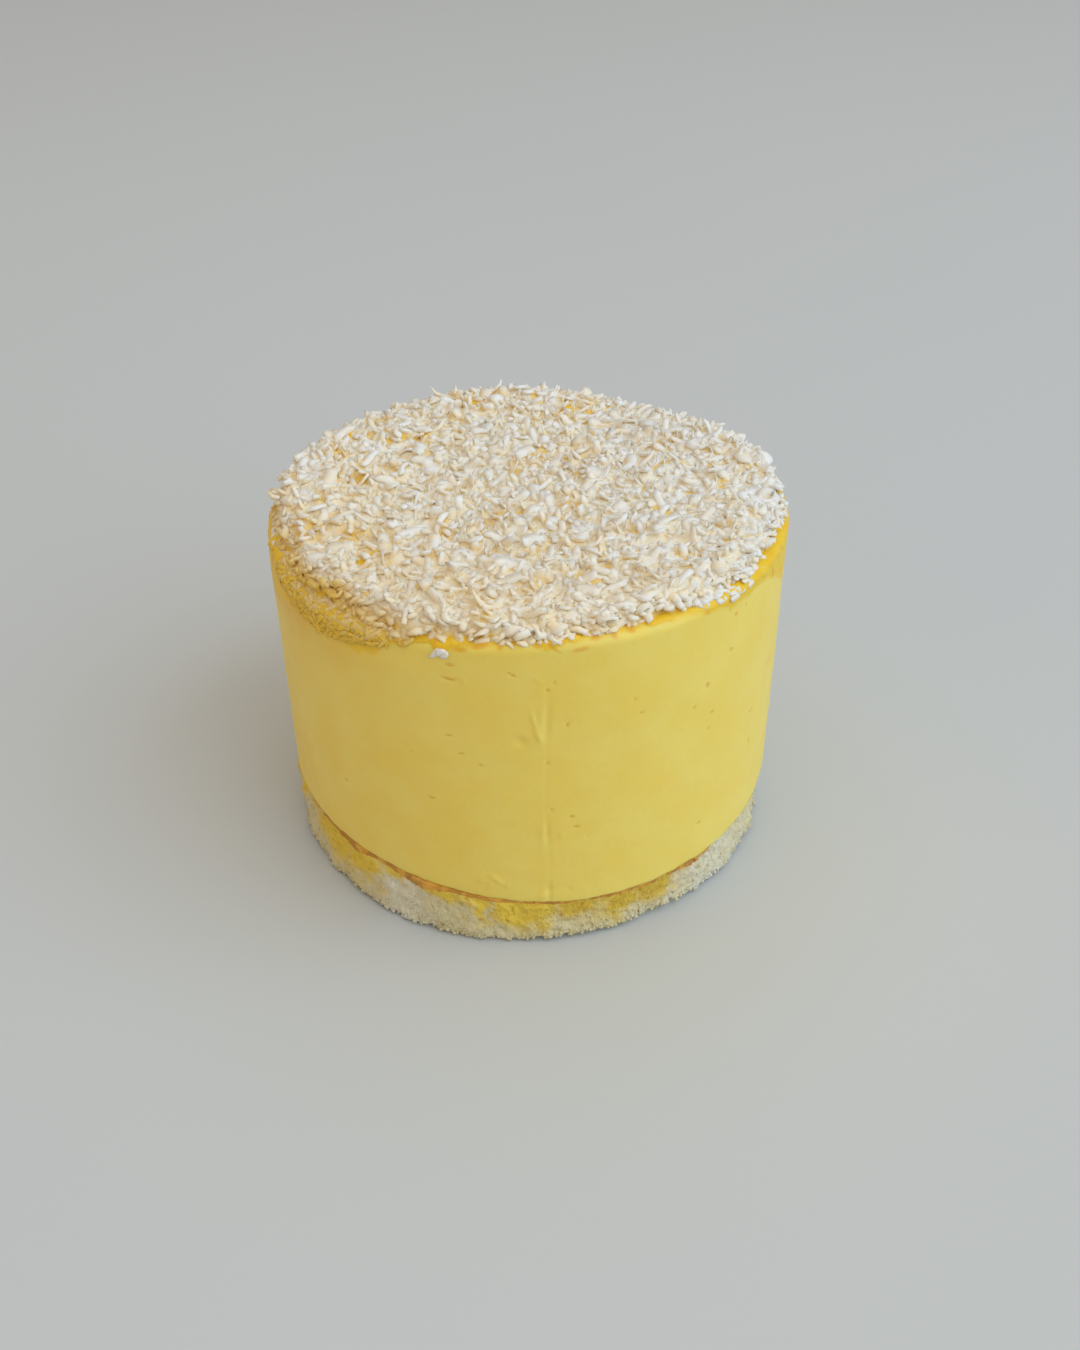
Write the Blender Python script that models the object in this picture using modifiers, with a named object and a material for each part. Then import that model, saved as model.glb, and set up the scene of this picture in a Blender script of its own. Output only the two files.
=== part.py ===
"""A single-portion mousse cake: a straight-sided round of pale yellow mousse, its top
strewn with desiccated coconut, standing on a thin layer of crumbly sponge.

Metres, +Z up. The origin is on the surface that the cake stands on, on the axis of the
ring that shaped it. Directions round the cake are angles in degrees, seen from above:
0 is the front, -Y, and 90 is the right, +X.
"""

import math
import random

import bmesh
import bpy
from mathutils import Matrix, Vector, noise

MM = 0.001

# Driving dimensions
RING_RADIUS = 35.0 * MM  # the 70 mm ring that the cake was set in
MOUSSE_TOP = 48.0 * MM  # mean height of the mousse's top, under the coconut
SPONGE_HEIGHT = 8.6 * MM  # mean height of the joint between sponge and mousse at the side
LAYER_GAP = 0.3 * MM  # between the faces of the two layers

# The joint between the layers and the mousse's top rise and fall round the cake: each
# wave has its size, the number of waves round and the direction of its crest
JOINT_WAVES = ((0.60 * MM, 1, -119.0), (0.70 * MM, 2, -69.0), (0.45 * MM, 3, -51.0))
TOP_WAVES = ((0.70 * MM, 1, 40.0),)

# Mousse
MOUSSE_STEPS = 64
MOUSSE_SIDE_ROWS = 4
TOP_RING_SPACING = 3.6 * MM
SHOULDER_RADIUS = 1.1 * MM
FOOT_RADIUS = 0.4 * MM
SIDE_WOBBLE = 0.12 * MM
SIDE_WOBBLE_SPAN = 14.0 * MM
SIDE_STARTS = 0.82  # share of the radius from which a layer's relief counts as on its side
DOME_RISE = 0.9 * MM  # the coconut is heaped a little in the middle

# The shoulder has slumped where the coconut was pressed over the edge
SLUMP_FACING = -46.0
SLUMP_SPREAD = 30.0
SLUMP_DROP = 2.2 * MM
SLUMP_PULL = 1.1 * MM  # towards the axis, at the edge
SLUMP_REACH = 5.0 * MM

# The bed of packed coconut that covers the top, as bumps of the size of its flakes
BED_THICKNESS = 0.9 * MM
BED_MARGIN = 2.0 * MM  # bare rim outside the bed
BED_BUMP = 0.45 * MM
BED_BUMP_SPAN = 3.2 * MM

# Coconut flakes that stand out of the bed
FLAKE_COUNT = 248
FLAKE_LENGTH = (2.6 * MM, 5.6 * MM)
FLAKE_WIDTH = (1.0 * MM, 2.2 * MM)
FLAKE_THICKNESS = (0.42 * MM, 0.6 * MM)
FLAKE_CURL = (-0.03, 0.11)  # rise of the ends, as a share of the length
FLAKE_SWAY = 0.08  # and their shift to one side
FLAKE_NARROWING = 0.45  # share of the width that is lost at the ends
FLAKE_THINNING = 0.35  # and of the thickness
FLAKE_TILT = 17.0
FLAKE_ROLL = 24.0
FLAKE_LIFT = 0.25  # how far a flake's middle lies above the bed, in thicknesses
FLAKE_JITTER = 0.9 * MM
FLAKE_EDGE_OVERHANG = 0.2 * MM
FLAKE_SEED = 41

# Sponge
SPONGE_STEPS = 84
SPONGE_SIDE_ROWS = 5
SPONGE_RADIUS = 34.5 * MM
SPONGE_WAVES = ((0.30 * MM, 1, -45.0), (0.20 * MM, 2, -30.0), (0.25 * MM, 5, -17.0))
SPONGE_EDGE = 0.5 * MM
SPONGE_UNDERCUT = 0.8 * MM  # the foot of the crumb is frayed inwards, most of all at
FRAYED_FACING = 32.0  # this direction
FRAYED_SPREAD = 28.0
CRAG_SIZE = 0.45 * MM
CRAG_SPAN = 3.4 * MM
CRUMB_SIZE = 0.28 * MM
CRUMB_SPAN = 1.3 * MM

GOLDEN_ANGLE = math.pi * (3 - math.sqrt(5))


def waves(terms, angle):
    """Sum of cosines round the cake, each with its size, number of waves and crest."""
    return sum(
        size * math.cos(count * (angle - math.radians(crest)))
        for size, count, crest in terms
    )


def facing(angle, centre, spread):
    """1 at a direction round the cake, fading to 0 away from it; degrees but the angle."""
    away = math.remainder(math.degrees(angle) - centre, 360.0)
    return math.exp(-((away / spread) ** 2))


def ease(share):
    """0 below 0, 1 above 1, and a smooth step between."""
    share = min(max(share, 0.0), 1.0)
    return share * share * (3 - 2 * share)


def angle_of(x, y):
    """Direction round the cake, from the front, in radians."""
    return math.atan2(x, -y)


def place(angle, radius, height):
    """Point at a direction, a distance from the axis and a height."""
    return Vector((radius * math.sin(angle), -radius * math.cos(angle), height))


def joint_height(angle, radius):
    """Height of the joint between the layers, wavy at the side and flat at the axis."""
    reach = (radius / RING_RADIUS) ** 2
    return SPONGE_HEIGHT + reach * waves(JOINT_WAVES, angle)


def top_height(angle, radius):
    """Height of the cake's top: the mousse, its slumped shoulder and the coconut bed."""
    inwards = RING_RADIUS - radius
    slump = SLUMP_DROP * facing(angle, SLUMP_FACING, SLUMP_SPREAD)
    fall = slump * ease(1 - inwards / SLUMP_REACH)
    covered = ease((inwards - 0.5 * BED_MARGIN) / BED_MARGIN)
    reach = (radius / RING_RADIUS) ** 2
    level = MOUSSE_TOP + reach * waves(TOP_WAVES, angle) - fall
    dome = DOME_RISE * (1 - reach)
    spot = place(angle, radius, 0) / BED_BUMP_SPAN
    bumps = BED_BUMP * noise.noise(spot)
    return level + covered * (BED_THICKNESS + dome + bumps)


def arc(centre_radius, centre_height, radius, start, end, count):
    """Points of a quarter round on a profile, from one direction to another, degrees."""
    turns = [math.radians(start + (end - start) * i / count) for i in range(count + 1)]
    return [
        (centre_radius + radius * math.cos(t), centre_height + radius * math.sin(t))
        for t in turns
    ]


def rings(outer, spacing):
    """Radii from the axis out to, and not including, the outer one."""
    count = max(1, round(outer / spacing))
    return [outer * i / count for i in range(count)]


def turned_mesh(name, profile, steps):
    """Mesh of a profile of (radius, height) turned round the axis by a Screw modifier."""
    outline = bpy.data.meshes.new(name + "_profile")
    edges = [(i, i + 1) for i in range(len(profile) - 1)]
    outline.from_pydata([(r, 0, z) for r, z in profile], edges, [])
    holder = bpy.data.objects.new(name + "_profile", outline)
    bpy.context.scene.collection.objects.link(holder)
    screw = holder.modifiers.new("turn", "SCREW")
    screw.steps = screw.render_steps = steps
    screw.use_merge_vertices = True
    screw.merge_threshold = 0.00001
    graph = bpy.context.evaluated_depsgraph_get()
    mesh = bpy.data.meshes.new_from_object(holder.evaluated_get(graph))
    mesh.name = name
    bpy.data.objects.remove(holder)
    bpy.data.meshes.remove(outline)
    return mesh


def food_material(name, colour, roughness):
    """Plain Principled material of one colour."""
    material = bpy.data.materials.new(name)
    material.use_nodes = True
    shader = material.node_tree.nodes["Principled BSDF"]
    shader.inputs["Base Color"].default_value = (*colour, 1)
    shader.inputs["Roughness"].default_value = roughness
    shader.inputs["Metallic"].default_value = 0
    return material


def add_object(name, mesh, material, collection):
    """Object of a mesh in a collection, with its material."""
    mesh.materials.clear()
    mesh.materials.append(material)
    made = bpy.data.objects.new(name, mesh)
    collection.objects.link(made)
    return made


def mousse_profile():
    """Half section of the mousse, from the axis at the top, round to the axis below."""
    flat = RING_RADIUS - SHOULDER_RADIUS
    top = [(radius, MOUSSE_TOP) for radius in rings(flat, TOP_RING_SPACING)]
    shoulder = arc(flat, MOUSSE_TOP - SHOULDER_RADIUS, SHOULDER_RADIUS, 90, 0, 3)
    upper = MOUSSE_TOP - SHOULDER_RADIUS
    lower = SPONGE_HEIGHT + FOOT_RADIUS
    rows = [
        (RING_RADIUS, upper + (lower - upper) * i / MOUSSE_SIDE_ROWS)
        for i in range(1, MOUSSE_SIDE_ROWS)
    ]
    sole = RING_RADIUS - FOOT_RADIUS
    foot = arc(sole, lower, FOOT_RADIUS, 0, -90, 2)
    base = [(radius, SPONGE_HEIGHT) for radius in reversed(rings(sole, RING_RADIUS / 3))]
    return top + shoulder + rows + foot + base


def shape_mousse(mesh):
    """Moves the turned mousse to its uneven form: joint, side, shoulder and top."""
    body = MOUSSE_TOP - SPONGE_HEIGHT
    for vertex in mesh.vertices:
        x, y, height = vertex.co
        angle, radius = angle_of(x, y), math.hypot(x, y)
        up = (height - SPONGE_HEIGHT) / body
        joint = joint_height(angle, radius) - SPONGE_HEIGHT + LAYER_GAP / 2
        top = top_height(angle, radius) - MOUSSE_TOP
        from_top = MOUSSE_TOP - height
        lifted = height + joint * (1 - up) + top * ease(1 - from_top / (2 * SHOULDER_RADIUS))
        slump = facing(angle, SLUMP_FACING, SLUMP_SPREAD) * ease(1 - from_top / SLUMP_REACH)
        wobble = SIDE_WOBBLE * noise.noise(vertex.co / SIDE_WOBBLE_SPAN)
        pulled_in = SLUMP_PULL * slump * (1 - ease(from_top / SLUMP_REACH))
        at_side = ease((radius / RING_RADIUS - SIDE_STARTS) / (1 - SIDE_STARTS))
        vertex.co = place(angle, radius - at_side * (pulled_in + wobble), lifted)


def flake_mesh(length, width, thickness, curl, sway):
    """Shaving of coconut: a strip in two lengths, narrower at its ends and curled up."""
    strip = bmesh.new()
    bmesh.ops.create_cube(strip, size=1)
    lengthwise = [e for e in strip.edges if abs(e.verts[0].co.x - e.verts[1].co.x) > 0.5]
    bmesh.ops.subdivide_edges(strip, edges=lengthwise, cuts=1, use_grid_fill=True)
    for vertex in strip.verts:
        along, across, up = vertex.co
        at_end = 4 * along * along
        narrow = 1 - FLAKE_NARROWING * at_end
        thin = 1 - FLAKE_THINNING * at_end
        vertex.co = (
            along * length,
            across * width * narrow + sway * length * at_end,
            up * thickness * thin + curl * length * at_end,
        )
    mesh = bpy.data.meshes.new("flake")
    strip.to_mesh(mesh)
    strip.free()
    return mesh


def scatter_flakes(material, collection):
    """Lays the flakes on the coconut bed, evenly spread by a spiral with some jitter."""
    draw = random.Random(FLAKE_SEED)
    for i in range(FLAKE_COUNT):
        length = draw.uniform(*FLAKE_LENGTH)
        width = draw.uniform(*FLAKE_WIDTH)
        thickness = draw.uniform(*FLAKE_THICKNESS)
        limit = RING_RADIUS + FLAKE_EDGE_OVERHANG - 0.5 * length
        angle = i * GOLDEN_ANGLE
        radius = RING_RADIUS * math.sqrt((i + 0.5) / FLAKE_COUNT)
        radius = min(radius + draw.uniform(-FLAKE_JITTER, FLAKE_JITTER), limit)
        radius = max(radius, 0.0)
        middle = place(angle, radius, top_height(angle, radius) + FLAKE_LIFT * thickness)
        turn = (
            Matrix.Rotation(draw.uniform(0, math.tau), 4, "Z")
            @ Matrix.Rotation(math.radians(draw.uniform(-FLAKE_TILT, FLAKE_TILT)), 4, "Y")
            @ Matrix.Rotation(math.radians(draw.uniform(-FLAKE_ROLL, FLAKE_ROLL)), 4, "X")
        )
        curl = draw.uniform(*FLAKE_CURL)
        sway = draw.uniform(-FLAKE_SWAY, FLAKE_SWAY)
        mesh = flake_mesh(length, width, thickness, curl, sway)
        flake = add_object(f"flake_{i:03d}", mesh, material, collection)
        flake.matrix_world = Matrix.Translation(middle) @ turn


def keep_outer_shell(mesh):
    """Drops the loose scraps and sealed hollows that a union can leave."""
    work = bmesh.new()
    work.from_mesh(mesh)
    unseen = set(work.verts)
    shells = []
    while unseen:
        shell, edge_of_shell = set(), [unseen.pop()]
        while edge_of_shell:
            vertex = edge_of_shell.pop()
            shell.add(vertex)
            for edge in vertex.link_edges:
                other = edge.other_vert(vertex)
                if other in unseen:
                    unseen.remove(other)
                    edge_of_shell.append(other)
        shells.append(shell)
    outer = max(shells, key=len)
    inner = [vertex for vertex in work.verts if vertex not in outer]
    bmesh.ops.delete(work, geom=inner, context="VERTS")
    work.to_mesh(mesh)
    work.free()


def make_mousse(collection):
    """The mousse with the coconut flakes fused to its top."""
    mousse_colour = food_material("mousse_yellow", (0.78, 0.58, 0.13), 0.5)
    mesh = turned_mesh("mousse", mousse_profile(), MOUSSE_STEPS)
    shape_mousse(mesh)
    mousse = add_object("mousse", mesh, mousse_colour, collection)

    flakes = bpy.data.collections.new("flakes")
    bpy.context.scene.collection.children.link(flakes)
    scatter_flakes(food_material("coconut_white", (0.86, 0.82, 0.74), 0.45), flakes)
    union = mousse.modifiers.new("fuse_flakes", "BOOLEAN")
    union.operation = "UNION"
    union.operand_type = "COLLECTION"
    union.collection = flakes
    union.solver = "MANIFOLD"
    graph = bpy.context.evaluated_depsgraph_get()
    fused = bpy.data.meshes.new_from_object(mousse.evaluated_get(graph))
    fused.name = "mousse_with_coconut"
    keep_outer_shell(fused)
    mousse.modifiers.clear()
    mousse.data = fused
    for flake in list(flakes.objects):
        bpy.data.objects.remove(flake)
    bpy.data.collections.remove(flakes)


def sponge_profile():
    """Half section of the sponge, from the axis at the top, round to the axis below."""
    flat = SPONGE_RADIUS - SPONGE_EDGE
    top = [(radius, SPONGE_HEIGHT) for radius in rings(flat, RING_RADIUS / 3)]
    rim = arc(flat, SPONGE_HEIGHT - SPONGE_EDGE, SPONGE_EDGE, 90, 0, 2)
    upper = SPONGE_HEIGHT - SPONGE_EDGE
    rows = [
        (SPONGE_RADIUS, upper * (1 - i / SPONGE_SIDE_ROWS))
        for i in range(1, SPONGE_SIDE_ROWS + 1)
    ]
    base = [(radius, 0.0) for radius in reversed(rings(SPONGE_RADIUS, RING_RADIUS / 2))]
    return top + rim + rows + base


def shape_sponge(mesh):
    """Gives the turned sponge its wavy top and its torn, crumbly side."""
    for vertex in mesh.vertices:
        x, y, height = vertex.co
        angle, radius = angle_of(x, y), math.hypot(x, y)
        up = height / SPONGE_HEIGHT
        joint = joint_height(angle, radius) - SPONGE_HEIGHT - LAYER_GAP / 2
        at_side = ease((radius / SPONGE_RADIUS - SIDE_STARTS) / (1 - SIDE_STARTS))
        crags = CRAG_SIZE * noise.noise(vertex.co / CRAG_SPAN)
        crumbs = CRUMB_SIZE * noise.noise(vertex.co / CRUMB_SPAN)
        frayed = 0.5 + facing(angle, FRAYED_FACING, FRAYED_SPREAD) + crags / CRAG_SIZE
        fraying = SPONGE_UNDERCUT * ease(1 - 3 * up) * max(frayed, 0.0)
        edge = waves(SPONGE_WAVES, angle) + crags + crumbs - fraying
        vertex.co = place(angle, radius + at_side * edge, height + joint * up)


def make_sponge(collection):
    """The layer of sponge under the mousse."""
    mesh = turned_mesh("sponge", sponge_profile(), SPONGE_STEPS)
    shape_sponge(mesh)
    add_object("sponge", mesh, food_material("sponge_crumb", (0.62, 0.55, 0.33), 0.85), collection)


def clear_scene():
    """Removes the objects that Blender starts with."""
    for thing in list(bpy.data.objects):
        bpy.data.objects.remove(thing)


def main():
    clear_scene()
    cake = bpy.data.collections.new("mousse_cake")
    bpy.context.scene.collection.children.link(cake)
    make_sponge(cake)
    make_mousse(cake)


if __name__ == "__main__":
    main()
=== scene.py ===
"""Looks of a single-portion mousse cake: pale yellow mousse on a thin, crumbly sponge, with
golden glaze over its top edge and a dense cover of desiccated coconut. Laid out as an add-on.

Metres, +Z up. Directions round the cake are angles seen from above: 0 is the front, -Y, and
90 degrees is the right, +X. The layers are first turned evenly on the axis of the ring that
shaped the cake, and a rule then moves their points to the uneven form of the real one.
"""

import math
import random

import bmesh
import bpy
import numpy as np
from bpy.props import FloatProperty, FloatVectorProperty, IntProperty, PointerProperty
from mathutils import Euler, Matrix, Vector, noise


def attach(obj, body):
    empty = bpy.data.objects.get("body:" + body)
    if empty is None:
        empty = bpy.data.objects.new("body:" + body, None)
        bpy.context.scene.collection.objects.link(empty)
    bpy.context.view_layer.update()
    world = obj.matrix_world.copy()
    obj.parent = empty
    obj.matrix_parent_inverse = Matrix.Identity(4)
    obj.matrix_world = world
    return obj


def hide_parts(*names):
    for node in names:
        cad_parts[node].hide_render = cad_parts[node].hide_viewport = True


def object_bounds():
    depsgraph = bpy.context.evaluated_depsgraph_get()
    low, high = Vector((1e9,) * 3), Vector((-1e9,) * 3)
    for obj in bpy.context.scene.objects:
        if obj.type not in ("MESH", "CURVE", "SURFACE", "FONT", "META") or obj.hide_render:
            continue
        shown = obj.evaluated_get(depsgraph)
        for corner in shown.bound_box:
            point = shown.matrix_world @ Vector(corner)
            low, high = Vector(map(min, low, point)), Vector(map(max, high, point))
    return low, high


bl_info = {
    "name": "Coconut Mousse Cake",
    "version": (1, 0, 0),
    "blender": (4, 5, 0),
    "location": "View3D > Sidebar > Mousse Cake",
    "description": "Dresses a small mousse cake with glaze, coconut and crumb, and lights it",
    "category": "Object",
}

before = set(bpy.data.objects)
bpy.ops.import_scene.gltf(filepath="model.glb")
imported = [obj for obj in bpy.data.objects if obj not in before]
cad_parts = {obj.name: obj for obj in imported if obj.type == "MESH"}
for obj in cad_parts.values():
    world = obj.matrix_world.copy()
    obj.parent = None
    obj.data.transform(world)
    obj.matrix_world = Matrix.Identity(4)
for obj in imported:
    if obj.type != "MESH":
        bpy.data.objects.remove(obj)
CAD_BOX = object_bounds()

MM = 0.001
WELD = 0.005 * MM

# The layers, as in the construction
RING_RADIUS = 35.0 * MM
MOUSSE_TOP = 48.0 * MM
SPONGE_HEIGHT = 8.6 * MM
SPONGE_RADIUS = 34.5 * MM
SHOULDER_RADIUS = 1.1 * MM
FOOT_RADIUS = 0.4 * MM
SIDE_STARTS = 0.82
JOINT_WAVES = ((0.60 * MM, 1, -119.0), (0.70 * MM, 2, -69.0), (0.45 * MM, 3, -51.0))
TOP_WAVES = ((0.70 * MM, 1, 40.0),)
SPONGE_WAVES = ((0.30 * MM, 1, -45.0), (0.20 * MM, 2, -30.0), (0.25 * MM, 5, -17.0))
SLUMP_FACING = -46.0
SLUMP_SPREAD = 30.0
SLUMP_DROP = 2.2 * MM
SLUMP_PULL = 1.1 * MM
SLUMP_REACH = 5.0 * MM
SIDE_WOBBLE = 0.12 * MM
SIDE_WOBBLE_SPAN = 14.0 * MM
CRAG_SIZE = 0.45 * MM
CRAG_SPAN = 3.4 * MM
CRUMB_SIZE = 0.28 * MM
CRUMB_SPAN = 1.3 * MM
FRAYED_FACING = 32.0
FRAYED_SPREAD = 28.0
FRAYED_LEAST = 0.45 * MM
FRAYED_MOST = 0.8 * MM
FRAYED_DEPTH = 1.7 * MM
TORN_HOLES = 0.3 * MM

# How finely the layers are turned, and how far their steps gather at the front
MOUSSE_STEPS = 620
MOUSSE_ROW = 0.34 * MM
SPONGE_STEPS = 1000
SPONGE_ROW = 0.2 * MM
GLAZE_STEPS = 520
GLAZE_ROW = 0.3 * MM
FRONT_GATHER = 0.32
JOINT_RAGGED = 0.2 * MM  # how ragged the joint is at the side
DOME_RISE = 0.8 * MM
TOP_SETTLE = 9.0 * MM  # depth of the side that gives way where the top has slumped
LAYER_BITE = 0.08 * MM  # how far the sponge presses into the mousse

# Marks on the mousse's side, by the way they face (degrees) and their height: then length,
# breadth and tilt (degrees), in mm
PITS = (
    (-15.6, 45.0, 1.6, 0.5, 4), (-16.0, 43.0, 2.4, 0.45, -8), (-16.5, 34.6, 1.5, 0.4, 0),
    (-14.4, 31.9, 1.3, 0.4, 5), (-21.2, 24.0, 1.2, 0.4, -5), (-10.4, 30.4, 0.9, 0.35, 0),
    (-44.6, 20.6, 0.7, 0.5, 0), (-25.2, 30.7, 0.8, 0.4, 10), (3.3, 42.0, 0.7, 0.5, 60),
    (4.6, 43.0, 0.6, 0.4, 70), (7.2, 36.7, 0.9, 0.45, 65), (20.9, 38.9, 0.7, 0.5, 0),
    (22.5, 36.6, 0.6, 0.4, 0), (8.1, 22.0, 0.8, 0.6, 0), (9.2, 20.2, 1.2, 0.35, -15),
    (11.5, 18.3, 0.5, 0.4, 0), (38.9, 36.8, 0.8, 1.0, 0), (35.6, 34.3, 0.9, 0.45, 65),
    (40.8, 32.0, 0.8, 0.6, 20), (45.6, 40.2, 1.0, 0.6, 10), (57.0, 26.5, 1.3, 0.5, 40),
    (40.2, 29.5, 0.7, 0.5, 0), (57.5, 21.2, 0.6, 1.1, 0), (43.8, 19.4, 0.6, 0.4, 0),
    (39.5, 13.8, 0.7, 0.5, 0), (32.0, 31.5, 0.6, 0.4, 0), (3.2, 31.0, 0.6, 0.4, 90),
    (3.9, 23.4, 0.6, 0.5, 0), (-3.5, 44.3, 1.6, 0.35, -30), (66.0, 31.0, 1.4, 0.4, 35),
)
HIDDEN_PITS = 30  # more of them on the side away from the front
PIT_DEPTH = 0.15 * MM

# Dents and raised wrinkles, with their depth or height in mm as well
DENTS = (
    (-2.1, 34.4, 1.5, 1.2, 0, 0.32), (4.0, 9.8, 2.2, 0.5, 20, 0.14),
    (7.5, 9.4, 1.2, 0.5, -25, 0.14),
)
RIDGES = (
    (0.6, 37.4, 2.6, 0.5, -76, 0.24), (1.5, 35.2, 1.8, 0.6, -66, 0.26),
    (2.3, 20.6, 3.2, 0.5, 88, 0.2), (6.0, 19.0, 0.8, 0.6, 70, 0.2),
    (-12.9, 43.1, 0.8, 0.6, 30, 0.16), (-7.6, 11.3, 2.0, 0.5, -35, 0.24),
    (-9.4, 10.2, 1.4, 0.5, 50, 0.2), (2.0, 8.6, 2.4, 0.6, 15, 0.18),
    (-11.2, 10.9, 1.5, 0.4, 20, 0.2), (-5.6, 10.4, 1.0, 0.4, 70, 0.18),
    (-8.8, 11.9, 0.9, 0.4, 0, 0.16), (1.4, 43.6, 1.8, 0.5, -35, 0.1),
    (4.2, 17.0, 1.3, 0.4, 10, 0.12),
)

# The crease that the collar's overlap left down the side
SEAM_FACING = 3.1
SEAM_TOP = 42.5 * MM
SEAM_BREADTH = 0.34 * MM
SEAM_DEPTH = 0.2 * MM
SEAM_DEEPEST = ((37.4, 2.4), (19.6, 2.2), (9.0, 1.6))  # (height, spread) in mm

# The glaze: how deep its film starts and stands out, how far down the side it can reach, and
# how far below the top it has any thickness
FILM_INSET = 0.35 * MM
FILM_OUT = 0.1 * MM
FILM_LOWEST = MOUSSE_TOP - 7 * MM
FILM_REACH = 1.4 * MM
FILM_FEATHER = 1.3 * MM

# Lower edge of the glaze on the side: facing (degrees), height (mm)
GLAZE_EDGE = (
    (-180, 45.8), (-140, 44.6), (-110, 45.8), (-90, 44.2), (-75, 42.2), (-67, 42.0), (-58, 43.9),
    (-52, 44.9), (-48, 44.8), (-44, 43.5), (-38, 43.1), (-32, 43.7), (-29, 45.5), (-25, 47.0),
    (-21, 47.4), (-18, 46.3), (-13, 46.8), (-8, 47.9), (-6, 47.4), (-3, 48.3), (0, 48.0),
    (3, 47.3), (6, 47.9), (13, 48.4), (21, 48.5), (30, 48.5), (35, 48.0), (39, 47.4), (46, 46.6),
    (52, 46.8), (59, 46.4), (63, 45.2), (67, 43.6), (70, 42.8), (73, 42.6), (76, 43.2),
    (80, 44.2), (85, 44.9), (92, 45.5), (102, 46.3), (120, 46.4), (150, 45.6), (180, 45.8),
)

# Orange pits where glaze has pooled under the edge, as marks: facing, height, length,
# breadth, tilt
GLAZE_POOLS = (
    (-61.8, 45.7, 1.4, 0.9, 60), (-56.9, 45.2, 1.4, 1.0, -50), (-66.5, 46.3, 1.6, 0.7, 70),
    (-73.0, 45.6, 2.4, 0.7, 75), (9.5, 47.4, 2.4, 0.7, 8), (69.0, 44.6, 1.1, 0.8, 0),
    (71.5, 42.4, 0.8, 2.2, 10), (-13.5, 47.2, 2.2, 0.6, 0), (-9.6, 47.8, 2.6, 0.6, 10),
    (-5.6, 47.9, 0.8, 0.8, 0), (1.5, 48.1, 1.2, 0.6, 0), (4.5, 47.8, 2.4, 0.4, -35),
    (12.8, 48.5, 1.4, 0.6, 0), (16.4, 48.4, 0.9, 0.7, 0), (20.0, 48.6, 1.2, 0.5, 0),
    (37.5, 47.8, 1.1, 0.6, -30), (46.2, 45.3, 0.7, 0.7, 0), (49.6, 45.8, 0.6, 0.5, 0),
    (62.0, 46.3, 0.9, 2.4, 25), (68.0, 44.4, 0.8, 0.6, 0), (44.0, 46.6, 0.6, 0.5, 0),
)

# The sponge's colours. Where syrup has stained it from above, and where its browned skin is
# thick: facing, spread (degrees), depth (mm)
SKIN_THIN = 0.32 * MM
STAINS = (
    (-53.0, 9.0, 7.0), (-43.0, 6.0, 5.6), (-32.0, 4.0, 2.4), (-19.0, 5.0, 2.6), (-12.5, 3.0, 4.4),
    (-4.0, 4.5, 5.6), (1.0, 4.0, 5.0), (9.5, 5.0, 3.2), (19.0, 5.0, 5.2), (29.0, 6.0, 4.2),
    (66.0, 6.0, 3.0), (100.0, 12.0, 4.5), (140.0, 9.0, 3.5), (-95.0, 10.0, 5.0),
    (-140.0, 14.0, 5.0), (180.0, 11.0, 3.6), (-75.0, 8.0, 3.6), (160.0, 6.0, 4.8),
)
SKIN_WEDGES = (
    (-46.0, 6.0, 1.1), (-60.0, 8.0, 0.8), (-27.5, 5.0, 1.1), (5.5, 3.5, 0.4), (18.0, 6.0, 0.4),
    (27.0, 7.0, 0.5), (38.5, 6.0, 1.2), (60.0, 5.0, 0.3), (-85.0, 9.0, 1.0), (95.0, 8.0, 0.9),
    (-115.0, 9.0, 1.2), (130.0, 10.0, 1.1), (-160.0, 10.0, 1.0), (170.0, 9.0, 0.9),
)

# Where its crumb is whitest, and where it is soaked through: facing, spread (degrees), share
BLOOMS = (
    (46.0, 22.0, 0.7), (-31.0, 8.0, 0.9), (-64.0, 9.0, 0.3), (110.0, 30.0, 0.6),
    (-150.0, 30.0, 0.6),
)
AMBERS = (
    (8.0, 6.0, 0.7), (21.0, 9.0, 0.9), (33.0, 8.0, 0.9), (-25.0, 5.0, 0.3), (57.0, 8.0, 0.6),
    (-62.0, 6.0, 0.4),
)

# The coconut's cover: its reach, the height that it keeps under, and the grid of its pile
COVER_RADIUS = 34.9 * MM
COVER_OVER_BOX = 1.3 * MM
PILE_REACH = 38.0 * MM
PILE_CELL = 0.22 * MM
PILE_SINK = 0.2 * MM  # how far a moist flake presses into those under it
OWN_SINK = 0.55  # and the share of its standing height that a leaning flake sinks as well
RIM_DROOP = 1.6 * MM
ROOT_DEPTH = 0.22 * MM  # how deep the underside of a flake is matted into the pile
ROOT_EDGE = 34.6 * MM
STEEPEST = math.radians(30.0)  # slope that a flake can lie on
TRIES = 5
RIM_SHARE = 0.13  # share of the finest flakes that lie along the rim
CALM_FACING = 25.0  # where the flakes lie flatter, and how much
CALM_SPREAD = 75.0
CALM_SHARE = 0.4
CREST_REACH = 3  # cells round a spot in which the pile's crest is sought
BED_STEPS = 420
BED_RING = 0.42 * MM
BED_EDGE = 34.3 * MM
BED_REACH = 3  # cells over which the bed evens out the pile
BED_GAP = 0.16 * MM  # how far it stays below the flakes
BED_SLOPES = (3.0 * MM, 1.8 * MM)  # width of its edge at the front, and how much less behind

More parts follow.
